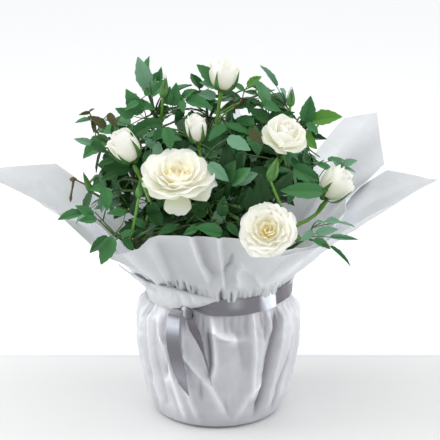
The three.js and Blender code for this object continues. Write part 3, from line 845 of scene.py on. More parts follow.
# The last list of each tail is its painted shade (above 0) and painted highlight (below 0), from the knot down.
long_tail = lay_sheet(12, 80, tail_place(
    [(245, 120), (243, 116), (241, 111), (239.8, 106), (239.4, 100), (239.6, 92), (240.8, 80), (242.8, 66),
     (245.2, 53), (247, 42)],
    [10, 12.5, 13.5, 13, 12.5, 12.5, 12.5, 12.5, 12, 11],
    [4, 8.4, 9.2, 8.0, 5.8, 5.2, 5, 5.2, 5.8, 6.4],
    [8, 14, 10, 4, -6, -12, -10, -4, 4, 10],
    [0.45, 0.35, 0.1, -0.75, -0.9, -0.15, 0.15, -0.05, -0.2, 0.0],
), SATIN_THICKNESS, offset=0)
settle(long_tail, "ribbon_long_tail", satin, ["ribbon_tail_long"], smooth=50)
short_tail = lay_sheet(8, 50, tail_place(
    [(249.5, 115), (251.5, 108), (255, 99), (258.5, 90), (261.5, 78), (264, 66), (265.5, 54)],
    [4, 8, 9.5, 9, 6.5, 4.5, 4],
    [5.5, 6, 5.4, 5, 5, 5, 5.2],
    [0, 15, 10, 35, 60, 60, 50],
    [0.6, 0.35, 0.7, 0.75, 0.4, 0.2, 0.3],
), SATIN_THICKNESS, offset=0)
settle(short_tail, "ribbon_short_tail", satin, ["ribbon_tail_short"], smooth=50)


def knot_place(across, up):
    """The knot: a narrow band that wraps over the ribbon from top to bottom, pinched in the middle."""
    roll = 2 * np.pi * up
    side = (across - 0.5) * 2
    round_off = 1 - 0.4 * side**2
    thick, tall = 3.0 * round_off, 5.4 * round_off
    wrinkle = 0.45 * np.sin(side * 9 + 2 * np.sin(roll))
    height = RIBBON_MIDDLE - 2.6 + tall * np.sin(roll) - 1.6 * side
    radius = 73.6 + (thick + wrinkle) * np.cos(roll)
    # Painted highlight just left of the middle, painted shade over the right half and at the far left edge.
    mark = -0.8 * bell(side, -0.45, 0.3) + 0.7 * fade(side, 0.1, 0.9) + 0.5 * fade(-side, 0.7, 1)
    return around(radius, KNOT_BEARING + np.degrees(side * 4.8 / 72), height), mark


knot = lay_sheet(14, 32, knot_place, 0.4, closed=True, offset=0)
settle(knot, "ribbon_knot_satin", satin, ["ribbon_knot"], smooth=50)

# %% [markdown]
# ## Pot and soil
# Under the leaves a dark nursery pot holds dark, crumbly potting soil. The pot is turned as on a
# wheel: a circle is drawn up and out ring by ring, over the rim and down inside. Crumbs of soil are
# joined into one piece, each a small uneven stone made from the same few faces.

# %% Pot
POT_RINGS = [
    (0, 1.6), (46.5, 1.6), (48, 3), (61.3, 94.6), (61.4, 95.9), (64.4, 96.2), (65, 97), (65, 107.2),
    (64.3, 108), (63.6, 107.6), (63.4, 98.6), (60.2, 96.2), (46.4, 4.4), (45, 3.2), (0, 3.2),
]


def turned_piece(rings, sides):
    """Draws a small circle out and up through (radius, height) rings, and closes both ends."""
    deselect()
    first, *rest = [(max(radius, 0.02), height) for radius, height in rings]
    bpy.ops.mesh.primitive_circle_add(
        vertices=sides, radius=first[0] * MM, fill_type="NGON", location=(0, 0, first[1] * MM)
    )
    piece = bpy.context.object
    bpy.ops.object.transform_apply(location=True)
    edit_all(piece)
    bpy.ops.mesh.flip_normals()
    radius, height = first
    for next_radius, next_height in rest:
        step = (0, 0, (next_height - height) * MM)
        bpy.ops.mesh.extrude_region_move(TRANSFORM_OT_translate={"value": step})
        grow = next_radius / radius
        middle = (0, 0, next_height * MM)
        bpy.ops.transform.resize(value=(grow, grow, 1), center_override=middle)
        radius, height = next_radius, next_height
    bpy.ops.mesh.select_all(action="SELECT")
    bpy.ops.mesh.normals_make_consistent(inside=False)
    bpy.ops.object.mode_set(mode="OBJECT")
    return piece


POT_COLORS = [(0.35, (0.02, 0.02, 0.02)), (0.7, (0.045, 0.043, 0.04))]
pot_plastic, scuffs = mottled("pot_plastic", 0.45, (90, 4, 0.6), POT_COLORS, 0.1, 0.0004)
pot_plastic.set("Roughness", 0.35 + 0.3 * scuffs)
nursery_pot = turned_piece(POT_RINGS, 96)
settle(nursery_pot, "nursery_pot", pot_plastic, ["pot"], smooth=40)


# %% Heaps of small things
class Heap:
    """Points and faces of many small things, joined as they are made."""

    def __init__(self):
        self.points, self.faces, self.marks, self.count = [], [], [], 0

    def add(self, points, faces, marks=None):
        self.points.append(points)
        self.faces.extend([tuple(corner + self.count for corner in face) for face in faces])
        self.marks.append(np.zeros((len(points), 2)) if marks is None else marks)
        self.count += len(points)

    def piece(self, mark_names=()):
        """The heap as one mesh, its places in millimetres turned to metres."""
        mesh = bpy.data.meshes.new("heap")
        mesh.from_pydata((np.concatenate(self.points) * MM).tolist(), [], self.faces)
        marks = np.concatenate(self.marks)
        for index, name in enumerate(mark_names):
            mesh.attributes.new(name, "FLOAT", "POINT").data.foreach_set("value", marks[:, index].ravel())
        piece = bpy.data.objects.new("heap", mesh)
        bpy.context.collection.objects.link(piece)
        edit_all(piece)
        bpy.ops.mesh.normals_make_consistent(inside=False)
        bpy.ops.object.mode_set(mode="OBJECT")
        return piece


def unit(vector):
    return vector / np.linalg.norm(vector, axis=-1, keepdims=True)


# %% Soil
SOIL_TOP = 97.0
SOIL_COLORS = [(0.3, (0.018, 0.011, 0.007)), (0.7, (0.075, 0.046, 0.028))]
soil_finish, _ = mottled("potting_soil", 0.95, (320, 4, 0.7), SOIL_COLORS, 0.6, 0.0012)


def soil_place(across, up):
    radius = up * 60.6
    bearing = across * 360
    points = around(radius, bearing, SOIL_TOP - 5 * fade(radius, 52, 60.6))
    rough = crumple(points, 9.0, 2.4, 21) + crumple(points, 3.5, 1.0, 22)
    return points + np.stack([0 * rough, 0 * rough, rough * (1 - fade(radius, 57, 60))], axis=-1)


soil_top = lay_sheet(96, 34, soil_place, 4.0, closed=True, offset=-1)
settle(soil_top, "soil_surface", soil_finish, ["root_ball"], smooth=60)

CRUMB = np.array([(1, 0, 0), (-1, 0, 0), (0, 1, 0), (0, -1, 0), (0, 0, 1), (0, 0, -1)], float)
CRUMB_FACES = [(0, 2, 4), (2, 1, 4), (1, 3, 4), (3, 0, 4), (2, 0, 5), (1, 2, 5), (3, 1, 5), (0, 3, 5)]
crumbs = Heap()
draw = np.random.default_rng(31)
for _ in range(900):
    away, bearing = 57 * math.sqrt(draw.random()), draw.random() * 360
    shape = CRUMB * draw.uniform(0.5, 1.5, (6, 1)) * draw.uniform(0.5, 1.8) * (1, 0.8, 0.6)
    turn = np.linalg.qr(draw.normal(size=(3, 3)))[0]
    middle = around(np.array([away]), np.array([bearing]), np.array([SOIL_TOP + draw.uniform(-0.4, 1.4)]))
    crumbs.add(shape @ turn + middle, CRUMB_FACES)
settle(crumbs.piece(), "soil_crumbs", soil_finish)

# %% [markdown]
# ## Canes, boughs and stems
# The canes rise from the soil and fork into boughs, and each flower stands on its own stem. The CAD
# solids say where they run, so each route is read off its solid: slices across its long axis give the
# middles and the radii. A finer limb is drawn along that route, with the swollen nodes, the fine ridges
# and the hooked prickles of a rose.


# %% Routes of the limbs
def limb_route(name, steps=9):
    """Middles and radii along a limb's CAD solid, from its low end to its high end."""
    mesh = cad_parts[name].data
    points = mesh_points(mesh) / MM
    edges = np.empty(len(mesh.edges) * 2, int)
    mesh.edges.foreach_get("vertices", edges)
    edges = edges.reshape(-1, 2)
    middle = points.mean(axis=0)
    axis = np.linalg.svd(points - middle)[2][0]
    axis = axis if axis[2] > 0 else -axis
    along = (points - middle) @ axis
    start, end = along[edges[:, 0]], along[edges[:, 1]]
    middles, radii = [], []
    for level in np.linspace(along.min() + 0.6, along.max() - 0.6, steps):
        cut = (start - level) * (end - level) < 0
        share = ((level - start[cut]) / (end[cut] - start[cut]))[:, None]
        ring = points[edges[cut, 0]] * (1 - share) + points[edges[cut, 1]] * share
        centre = ring.mean(axis=0)
        middles.append(centre)
        radii.append(np.linalg.norm(ring - centre, axis=1).mean())
    return np.array(middles), np.array(radii)


def along_route(route, share):
    """A point at a share of the way along a route of points."""
    steps = np.linspace(0, 1, len(route))
    return np.array([np.interp(share, steps, route[:, axis]) for axis in range(3)]).T


def spread_out(values, count):
    """The values stretched evenly over a number of steps."""
    return np.interp(np.linspace(0, 1, count), np.linspace(0, 1, len(values)), values)


def smooth_route(points, count):
    """A rounded path through a few points, with evenly shared steps."""
    points = np.asarray(points, float)
    padded = np.vstack([2 * points[0] - points[1], points, 2 * points[-1] - points[-2]])
    spots = np.linspace(0, len(points) - 1 - 1e-9, count)
    made = []
    for spot in spots:
        i, t = int(spot), spot - int(spot)
        a, b, c, d = padded[i : i + 4]
        square, cube = 2 * a - 5 * b + 4 * c - d, 3 * b - a - 3 * c + d
        made.append(0.5 * (2 * b + (c - a) * t + square * t**2 + cube * t**3))
    return np.array(made)


CANES, BOUGHS, STEMS = nodes_named("cane_"), nodes_named("bough_"), nodes_named("stem_")
MASSES, BLOOMS = nodes_named("foliage_"), nodes_named("bloom_")
routes = {name: limb_route(name) for name in CANES + BOUGHS + STEMS}
print("limbs:", len(routes), "masses:", len(MASSES))


def tube(points, radii, sides, relief=0.0, seed=0):
    """A closed limb round a path; relief swells its nodes and ridges its skin."""
    count = len(points)
    radii = np.broadcast_to(np.asarray(radii, float), (count,))
    tangents = unit(np.gradient(points, axis=0))
    side = unit(np.cross(tangents[0], (0.31, 0.87, 0.38)))
    rings = []
    turns = np.arange(sides) * 2 * np.pi / sides
    for i in range(count):
        side = unit(side - tangents[i] * (side @ tangents[i]))
        other = np.cross(tangents[i], side)
        radius = radii[i] * np.ones(sides)
        if relief:
            node = np.exp(-(((i * 2.3 + seed) % 13 - 6.5) ** 2) / 1.6)
            radius = radius * (1 + relief * (0.9 * node + 0.4 * np.sin(3 * turns + seed + 0.3 * i)))
        ring = points[i] + np.outer(np.cos(turns) * radius, side)
        rings.append(ring + np.outer(np.sin(turns) * radius, other))
    faces = []
    for i in range(count - 1):
        for j in range(sides):
            k = (j + 1) % sides
            faces.append((i * sides + j, i * sides + k, (i + 1) * sides + k, (i + 1) * sides + j))
    faces.append(tuple(range(sides))[::-1])
    faces.append(tuple(range((count - 1) * sides, count * sides)))
    return np.concatenate(rings), faces


def nearest_on(names, target, first=0.0, last=1.0):
    """The nearest point to a target on any of these limbs, and the way the limb runs there."""
    best = None
    for name in names:
        spots = np.linspace(first, last, 25)
        path = along_route(routes[name][0], spots)
        away = np.linalg.norm(path - target, axis=1)
        index = int(away.argmin())
        if best is None or away[index] < best[0]:
            ahead, behind = path[min(index + 1, 24)], path[max(index - 1, 0)]
            best = (away[index], path[index], unit(ahead - behind))
    return best[1], best[2]


# %% Canes and boughs
PRICKLE_FACES = [(0, 1, 4), (1, 2, 4), (2, 3, 4), (3, 0, 4), (3, 2, 1, 0)]


def prickle(spot, outwards, upwards, length):
    """A hooked prickle: a narrow base along the limb, and a tip that leans down."""
    across = np.cross(outwards, upwards)
    base = [spot + upwards * 0.45 * length, spot + across * 0.22 * length,
            spot - upwards * 0.5 * length, spot - across * 0.22 * length]
    tip = spot + outwards * length - upwards * 0.35 * length
    return np.array([*base, tip]) - np.array([outwards * 0.3] * 4 + [outwards * 0]), PRICKLE_FACES


BARK_COLORS = [(0.3, (0.085, 0.07, 0.028)), (0.48, (0.1, 0.15, 0.035)), (0.75, (0.17, 0.24, 0.06))]
bark, flecks = mottled("green_bark", 0.55, (240, 4, 0.6), BARK_COLORS, 0.4, 0.0006, stretch=(1, 1, 0.25))
bark.set("Roughness", 0.45 + 0.2 * flecks)

limbs = Heap()
draw = random.Random(41)
for seed, name in enumerate(CANES + BOUGHS):
    middles, radii = routes[name]
    if name in BOUGHS:
        root, _ = nearest_on(CANES, middles[0] - (0, 0, 4))
        middles = np.vstack([root, middles])
        radii = np.concatenate([[radii[0] * 1.15], radii])
    else:
        middles = np.vstack([middles[0] - (0, 0, 3), middles])
        radii = np.concatenate([[radii[0] * 1.2], radii])
    path = smooth_route(middles, 40)
    thick = spread_out(radii, 40) * 1.05
    limbs.add(*tube(path, thick, 10, relief=0.09, seed=seed))
    for _ in range(7 if name in CANES else 4):
        i = draw.randrange(5, 36)
        upwards = unit(path[i + 1] - path[i])
        aside = unit(np.cross(upwards, [draw.gauss(0, 1) for _ in range(3)]))
        limbs.add(*prickle(path[i] + aside * thick[i] * 0.95, aside, upwards, draw.uniform(1.8, 3.2)))
settle(limbs.piece(), "canes_and_boughs", bark, CANES + BOUGHS, smooth=45)

# %% [markdown]
# Flower stems are this year's growth, so they are smooth and bright green. Each runs back from its
# bloom to the nearest limb.

# %% Flower stems
STEM_COLORS = [(0.3, (0.1, 0.27, 0.025)), (0.7, (0.17, 0.36, 0.045))]
green_stem, _ = mottled("green_stem", 0.42, (120, 2), STEM_COLORS, 0.15, 0.0004, stretch=(1, 1, 0.2))
flower_stems = Heap()
for name in STEMS:
    middles, radii = routes[name]
    way = unit(middles[2] - middles[0])
    root, _ = nearest_on(CANES + BOUGHS, middles[0] - 26 * way)
    knee = (root + middles[0] - 6 * way) / 2
    path = smooth_route(np.vstack([root, knee, middles]), 34)
    thick = spread_out([radii[0] * 1.1] * 2 + list(radii), 34)
    flower_stems.add(*tube(path, thick, 9, relief=0.05, seed=3))
settle(flower_stems.piece(), "flower_stems", green_stem, STEMS, smooth=50)

# %% [markdown]
# ## A leaflet
# A rose leaf has three to seven leaflets on a thin stalk. One leaflet is an oval that is widest below
# its middle and runs out to a point, with a toothed edge. It folds a little along its midrib and its
# tip hangs. It has an underside too, so it is a thin closed shell of a few dozen faces. A handful of
# variants, from flat to strongly folded, keeps the bush from looking stamped.

# %% Leaflet shapes
LEAF_ROWS = np.array([0.07, 0.17, 0.28, 0.39, 0.5, 0.61, 0.71, 0.8, 0.88, 0.95])
LEAF_COLUMNS = np.array([-1, -0.52, 0, 0.52, 1])


def leaflet_shape(fold, hang, twist, ripple):
    """Points of one leaflet of length 1: it starts at the origin and points along +Y, its face up."""
    half = 0.275 * np.sin(np.pi * LEAF_ROWS**0.78) ** 0.85
    teeth = np.where(np.arange(len(LEAF_ROWS)) % 2, 1.06, 0.95)
    rows = []
    for row, width, tooth in zip(LEAF_ROWS, half, teeth):
        across = LEAF_COLUMNS * width * np.where(np.abs(LEAF_COLUMNS) == 1, tooth, 1)
        lift = fold * np.abs(across) - 1.1 * fold * across**2 - hang * row**2
        lift += ripple * np.abs(LEAF_COLUMNS) * np.sin(row * 19)
        lift += twist * row * across
        back = 0.05 * np.abs(LEAF_COLUMNS) * (1 - row)
        rows.append(np.stack([across, row - back, lift], axis=-1))
    top = np.concatenate(rows)
    base, tip = np.array([[0, 0, 0]]), np.array([[0, 1, -hang * 1.1]])
    under = top.reshape(len(LEAF_ROWS), 5, 3)[:, 2] - (0, 0, 0.022)
    return np.concatenate([top, base, tip, under])


def leaflet_faces():
    rows = len(LEAF_ROWS)
    base, tip, under = rows * 5, rows * 5 + 1, rows * 5 + 2
    corners = [i * 5 + j for i in range(rows - 1) for j in range(4)]
    faces = [(corner, corner + 1, corner + 6, corner + 5) for corner in corners]
    last = (rows - 1) * 5
    faces += [(base, j + 1, j) for j in range(4)] + [(last + j, last + j + 1, tip) for j in range(4)]
    for i in range(rows - 1):
        left, right = i * 5, i * 5 + 4
        faces += [(left, left + 5, under + i + 1, under + i), (under + i, under + i + 1, right + 5, right)]
    faces += [(base, 0, under), (base, under, 4)]
    faces += [(tip, under + rows - 1, last), (tip, last + 4, under + rows - 1)]
    return faces


LEAFLETS = [
    leaflet_shape(0.38, 0.10, 0.0, 0.008),
    leaflet_shape(0.6, 0.16, 0.14, 0.012),
    leaflet_shape(0.26, 0.06, -0.12, 0.01),
    leaflet_shape(0.5, 0.26, -0.18, 0.014),
    leaflet_shape(0.8, 0.12, 0.06, 0.01),
    leaflet_shape(0.32, 0.2, 0.2, 0.012),
]
LEAFLET_FACES = leaflet_faces()
print("faces in a leaflet:", len(LEAFLET_FACES))

# %% [markdown]
# Leaves are cool dark green, and each spray has one plain colour: darkest inside the bush and low down, which
# is painted shade, mid green outside, blue green as a painted sheen, and olive to reddish on the youngest tips.

# %% Leaf finishes
# Colour and roughness.
# leaves_shade is a painted shade colour and leaves_blue a painted sheen; leaves_dark is a real darker green
# that also serves as painted shade low in the bush.
LEAF_LOOKS = {
    "leaves_shade": ((0.012, 0.058, 0.012), 0.45),
    "leaves_dark": ((0.02, 0.1, 0.021), 0.42),
    "leaves_mid": ((0.052, 0.195, 0.06), 0.42),
    "leaves_blue": ((0.17, 0.35, 0.215), 0.5),
    "leaves_fresh": ((0.1, 0.28, 0.036), 0.45),
    "leaves_young": ((0.075, 0.08, 0.026), 0.4),
}
leaf_finishes = {}
for name, (color, roughness) in LEAF_LOOKS.items():
    leaf = Finish(name, Base_Color=color, Roughness=roughness, Specular_IOR_Level=0.28)
    leaf.bump(leaf.noise(420, 2, 0.5), 0.25, 0.0005)
    leaf_finishes[name] = leaf
leaf_heaps = {name: Heap() for name in LEAF_LOOKS}
twigs = Heap()

# %% [markdown]
# ## Where leaves may grow
# The masses of the CAD model give the crown its outline and its gaps, so a leaf is kept only if it
# lies within one of them. It also keeps clear of the paper and of the flowers, and of the way the
# flowers look out.


# %% Room for leaves
def box_of(name):
    low, high = (np.array(corner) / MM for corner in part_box(name))
    return (low + high) / 2, (high - low) / 2


mass_boxes = {name: box_of(name) for name in MASSES}
bloom_boxes = {name: box_of(name) for name in BLOOMS}
TOWARDS_VIEW = np.array([0, -math.cos(ELEVATION), math.sin(ELEVATION)])


def in_a_mass(point, slack):
    return any(np.sum(((point - middle) / (half + slack)) ** 2) < 1 for middle, half in mass_boxes.values())


def clear_of_flowers(point, room):
    for middle, half in bloom_boxes.values():
        off = point - middle
        ahead = off @ TOWARDS_VIEW
        aside = np.linalg.norm(off - ahead * TOWARDS_VIEW)
        radius = half[[0, 2]].mean()
        if np.linalg.norm(off / (half + room)) < 1 or (ahead > -6 and aside < radius + room * 0.6):
            return False
    return True


def above_paper(point, room):
    """True inside the open paper, or beyond its edge and not below it."""
    radius, bearing = math.hypot(point[0], point[1]), math.degrees(math.atan2(point[1], point[0])) % 360
    for edge in (INNER_EDGE, OUTER_EDGE):
        rim_radius, rim_height = (float(value[0]) for value in edge_at(edge, np.array([bearing])))
        if radius > rim_radius + 2:
            continue
        share = (radius - TIE_RADIUS + 5) / (rim_radius - TIE_RADIUS)
        if point[2] < TIE_HEIGHT + max(share, 0) * (rim_height - TIE_HEIGHT) + room:
            return False
    return True


# %% [markdown]
# ## Leaves and shoots
# A compound leaf is laid out on its stalk: pairs of leaflets and one at the end, the largest there. A
# shoot carries leaves in a spiral, each 137.5 degrees round from the one before, as real shoots do.
# Shoots start on the nearest limb and reach out into a mass.


# %% Leaf and shoot
GOLDEN_TURN = math.radians(137.5)
PAIRS = {3: (0.66,), 5: (0.5, 0.78), 7: (0.38, 0.6, 0.82)}


def add_leaflet(heap, foot, towards, face, length, shape, breadth=1.0):
    across = unit(np.cross(towards, face))
    face = np.cross(across, towards)
    points = LEAFLETS[shape] * (breadth, 1, 1)
    heap.add(foot + length * (points @ np.array([across, towards, face])), LEAFLET_FACES)


def leaf_fits(spots, slack=6):
    return all(in_a_mass(spot, slack) and clear_of_flowers(spot, 5) and above_paper(spot, 3) for spot in spots)


def grow_leaf(draw, heap, foot, towards, face, length, count, slack=6):
    """One compound leaf; returns False, and adds nothing, where there is no room for it."""
    across = unit(np.cross(towards, face))
    face = np.cross(across, towards)
    droop = draw.uniform(0.05, 0.3)
    stalk = lambda share: foot + length * (share * towards - droop * share**2 * face)
    size = length * draw.uniform(0.5, 0.62)
    leaflets = []
    tip_way = unit(towards - 2 * droop * face)
    leaflets.append((stalk(1.0), tip_way, face, size * 1.08))
    for pair, share in enumerate(PAIRS[count]):
        shrink = (0.62, 0.86, 0.96)[pair + 3 - len(PAIRS[count])]
        way = unit(towards - 2 * droop * share * face)
        for side in (-1, 1):
            angle = math.radians(draw.uniform(50, 72))
            out = unit(math.cos(angle) * way + side * math.sin(angle) * across - 0.12 * face)
            tilt = unit(face + side * draw.uniform(-0.25, 0.35) * across)
            leaflets.append((stalk(share), out, tilt, size * shrink * draw.uniform(0.85, 1.05)))
    ends = [spot + way * leaflet * 0.7 for spot, way, _, leaflet in leaflets]
    if not leaf_fits(ends, slack) or any(hides_a_feature(end) for end in ends):
        return False
    for spot, way, tilt, leaflet in leaflets:
        shape = draw.randrange(len(LEAFLETS))
        add_leaflet(heap, spot, way, tilt, leaflet, shape, draw.uniform(0.9, 1.12))
    path = np.array([stalk(share) for share in np.linspace(0, 1, 6)])
    twigs.add(*tube(path, np.linspace(0.62, 0.36, 6), 4))
    return True


def grow_shoot(draw, start, way, target, heap, thickness=1.15, leaf_length=46, slack=6):
    """A shoot from a limb to a target, with leaves in a spiral along it; returns how many grew."""
    reach = np.linalg.norm(target - start)
    rise = start + way * reach * 0.35 + (0, 0, reach * 0.06)
    path = smooth_route([start, (rise + (start + target) / 2) / 2, target], 14)
    ahead = unit(path[-1] - path[-2])
    spiral = draw.uniform(0, 6.28)
    grown = 0
    steps = max(3, int(reach / 8.5))
    for step in range(steps + 1):
        share = 1 - step / steps
        foot = along_route(path, share)
        if not in_a_mass(foot, slack - 4):
            continue
        spiral += GOLDEN_TURN
        side = unit(np.cross(ahead, (0.2, 0.3, 0.93)))
        other = np.cross(ahead, side)
        aside = math.cos(spiral) * side + math.sin(spiral) * other
        spread = 0.35 + 0.75 * (1 - share) + draw.uniform(-0.1, 0.2)
        towards = unit(ahead * (1 - 0.4 * spread) + aside * (0.45 + spread) + (0, 0, 0.12))
        outwards = unit(np.array([foot[0], foot[1], 0.6 * (foot[2] - 215)]) + 1e-3)
        wander = np.array([draw.gauss(0, 0.4) for _ in range(3)])
        face = unit(0.6 * np.array([0, 0, 1]) + 0.75 * outwards + wander)
        if abs(face @ towards) > 0.9:
            continue
        count = draw.choice((3, 5, 5, 5, 7))
        for length in (leaf_length * draw.uniform(0.85, 1.2), leaf_length * 0.72):
            if grow_leaf(draw, heap, foot, towards, face, length, count, slack):
                grown += 1
                break
            count = 3
    if grown:
        twigs.add(*tube(path, np.linspace(thickness, 0.5, len(path)), 5, relief=0.08, seed=grown))
    return grown


# %% [markdown]
# ## The sprays that shape the outline
# A bush is known by the leaves that stand out against the light: the tall one at the top left, the
# drooping ones over the paper. They are listed one by one, each with its foot and its tip in millimetres
# and its breadth, in sprays that meet at a hub, and a stalk runs from each hub to the nearest limb.

# %% Listed sprays
# Colour, hub, and leaves: the foot, the tip and the breadth of each in a row.
FEATURE_SPRAYS = [
    ("blue", (-59, 4, 291), [(-61, 2, 298, -68, -4, 325, 0.95)]),
    ("mid", (-45, 2, 294), [
        (-45, -4, 305, -58, -10, 293, 0.9), (-51, 2, 304, -49, -4, 316, 0.8),
    ]),
    ("mid", (-62, -4, 272), [
        (-67, -10, 277, -78, -16, 299, 1.2), (-68, -16, 289, -80, -22, 285, 0.95),
        (-73, -14, 276, -87, -20, 284, 1.0),
    ]),
    ("dark", (-46, -22, 267), [
        (-48, -28, 272, -68, -34, 275, 1.0), (-58, -32, 273, -76, -38, 263, 1.05),
    ]),
    ("mid", (-39, -6, 278), [
        (-39, -6, 284, -35, -12, 304, 1.05), (-44, -6, 285, -41, -12, 302, 0.9),
    ]),
    ("mid", (-32, -4, 283), [
        (-30, -6, 291, -20, -12, 300, 1.1), (-27, -8, 290, -4, -14, 285, 1.0),
        (-31, -12, 290, -29, -18, 280, 1.15),
    ]),
    ("blue", (3, 4, 289), [
        (-1, 2, 291, -16, -4, 294, 1.1), (0, 2, 299, -14, -4, 305, 1.0),
    ]),
    ("mid", (1, 6, 296), [
        (-1, 2, 303, -17, -4, 320, 1.0), (17, 4, 301, 25, -2, 296, 1.0),
    ]),
    ("fresh", (23, 22, 285), [(27, 22, 296, 39, 16, 306, 1.1)]),
    ("mid", (45, -2, 274), [
        (45, -4, 281, 37, -10, 309, 1.1), (39, -8, 287, 55, -14, 282, 1.0),
        (35, 2, 294, 25, -4, 296, 0.7),
    ]),
    ("dark", (48, -4, 265), [
        (47, -8, 270, 29, -14, 283, 1.0), (47, -8, 272, 67, -14, 280, 0.7),
    ]),
    ("mid", (77, -2, 265), [
        (78, -2, 269, 82, -8, 292, 1.3), (79, -8, 269, 89, -14, 261, 1.0),
    ]),
    ("fresh", (76, -4, 262), [
        (84, -2, 270, 109, -8, 276, 1.3), (75, -8, 259, 88, -14, 247, 1.15),
    ]),
    ("young", (-105, -16, 262), [
        (-97, -18, 267, -109, -24, 279, 1.0), (-94, -20, 280, -87, -26, 269, 1.0),
        (-110, -18, 280, -119, -24, 280, 0.6), (-111, -18, 281, -106, -24, 285, 0.6),
        (-108, -20, 274, -106, -26, 264, 0.8),
    ]),
    ("blue", (-106, -16, 259), [
        (-110, -18, 274, -123, -24, 273, 0.6), (-109, -20, 254, -123, -26, 258, 0.75),
    ]),
    ("dark", (-98, -22, 246), [
        (-109, -22, 254, -95, -28, 247, 0.9), (-90, -28, 240, -103, -34, 239, 0.9),
    ]),
    ("dark", (-89, -34, 222), [(-87, -34, 230, -100, -40, 226, 0.9)]),
    ("mid", (-94, -46, 213), [
        (-96, -48, 222, -109, -54, 220, 1.0), (-95, -52, 222, -94, -58, 203, 1.2),
    ]),
    ("mid", (-99, -66, 195), [
        (-105, -72, 202, -117, -78, 213, 1.0), (-114, -73, 205, -134, -80, 203, 0.8),
        (-102, -74, 200, -116, -80, 201, 0.9),
    ]),
    ("mid", (-85, -76, 189), [
        (-87, -88, 188, -98, -96, 167, 1.1), (-78, -60, 201, -93, -66, 204, 0.9),
    ]),
    ("dark", (-83, -76, 187), [
        (-91, -87, 188, -107, -94, 177, 0.9), (-79, -76, 184, -70, -82, 174, 0.9),
    ]),
    ("mid", (-57, -60, 193), [
        (-71, -68, 187, -87, -74, 184, 0.8), (-61, -64, 191, -71, -70, 199, 0.9),
    ]),
    ("mid", (-4, -76, 195), [
        (4, -82, 189, -17, -88, 198, 0.95), (-16, -82, 195, -28, -88, 191, 0.9),
    ]),
    ("dark", (11, -70, 196), [
        (9, -82, 198, 19, -88, 189, 1.0), (-34, -78, 195, -49, -84, 192, 1.0),
        (4, -74, 203, 6, -80, 220, 1.3),
    ]),
    ("mid", (93, -52, 220), [
        (90, -62, 221, 54, -68, 224, 0.72), (66, -42, 237, 88, -48, 227, 1.15),
    ]),
    ("blue", (-11, -44, 244), [
        (-7, -60, 245, 10, -66, 231, 0.9), (9, -46, 264, 29, -52, 255, 1.0),
    ]),
    ("mid", (10, -46, 245), [
        (12, -60, 227, 28, -66, 243, 1.25), (-44, -44, 273, -38, -50, 255, 1.3),
    ]),
    ("young", (39, -34, 254), [(28, -40, 270, 39, -46, 259, 1.0)]),
    ("blue", (107, -28, 230), [
        (110, -20, 234, 121, -26, 240, 1.2), (110, -20, 233, 101, -26, 240, 0.9),
        (112, -22, 232, 121, -28, 230, 0.6),
    ]),
    ("blue", (81, -70, 191), [
        (93, -72, 198, 104, -78, 200, 1.0), (103, -74, 197, 117, -80, 196, 0.45),
        (85, -72, 198, 91, -78, 198, 0.6),
    ]),
    ("blue", (77, -74, 185), [
        (84, -76, 188, 102, -82, 194, 0.8), (81, -78, 191, 71, -84, 183, 1.1),
        (96, -80, 186, 119, -86, 186, 0.4),
    ]),
    ("mid", (79, -76, 182), [
        (82, -82, 184, 96, -88, 179, 1.0), (95, -88, 180, 114, -94, 166, 0.35),
    ]),
]

SIDEWAYS = np.array([1.0, 0, 0])
UPWARDS = np.cross(SIDEWAYS, -TOWARDS_VIEW)
feature_spots, stem_spots = [], []


def seen_at(point):
    """Where a point stands in the main view: across, up and nearness, in millimetres."""
    return np.array([point @ SIDEWAYS, point @ UPWARDS, point @ TOWARDS_VIEW])


def hides_a_feature(point):
    """Whether a leaf here would stand before a listed leaf or a flower's stem."""
    across, up, near = seen_at(point)
    for spots, room in ((feature_spots, 9.0), (stem_spots, 5.5)):
        if any(near > spot[2] - 8 and math.hypot(across - spot[0], up - spot[1]) < room for spot in spots):
            return True
    return False


for name in STEMS:
    for share in (0.35, 0.55, 0.75, 0.9):
        stem_spots.append(seen_at(along_route(routes[name][0], share)))

draw = random.Random(202)
for color, hub, leaves in FEATURE_SPRAYS:
    hub = np.array(hub, float)
    for *ends, breadth in leaves:
        foot, tip = np.array(ends, float).reshape(2, 3)
        length = np.linalg.norm(tip - foot)
        towards = (tip - foot) / length
        face = unit(0.8 * TOWARDS_VIEW + (0, 0, 0.35) + [draw.gauss(0, 0.22) for _ in range(3)])
        breadth = min(breadth, 0.95 + 0.3 * (breadth - 0.95))
        shape = draw.randrange(len(LEAFLETS))
        add_leaflet(leaf_heaps["leaves_" + color], foot, towards, face, length, shape, breadth)
        bend = (foot + hub) / 2 - 0.1 * length * towards
        twigs.add(*tube(smooth_route([hub, bend, foot + 0.5 * towards], 7), np.linspace(0.6, 0.4, 7), 4))
        feature_spots += [seen_at(foot + share * length * towards) for share in (0.3, 0.7)]
    start, way = nearest_on(CANES + BOUGHS + STEMS, hub - (0, 0, 12), 0.3, 1.0)
    reach = np.linalg.norm(hub - start)
    path = smooth_route([start, (start + hub) / 2 + way * reach * 0.12, hub], 12)
    twigs.add(*tube(path, np.linspace(1.1, 0.7, 12), 5, relief=0.08, seed=2))
print("hand-placed leaves:", len(feature_spots) // 2)

# %% Shoots through every mass
def directions(count):
    """Evenly spread directions, by the golden angle."""
    heights = 1 - 2 * (np.arange(count) + 0.5) / count
    turns = np.arange(count) * GOLDEN_TURN
    flat = np.sqrt(1 - heights**2)
    return np.stack([flat * np.cos(turns), flat * np.sin(turns), heights], axis=-1)


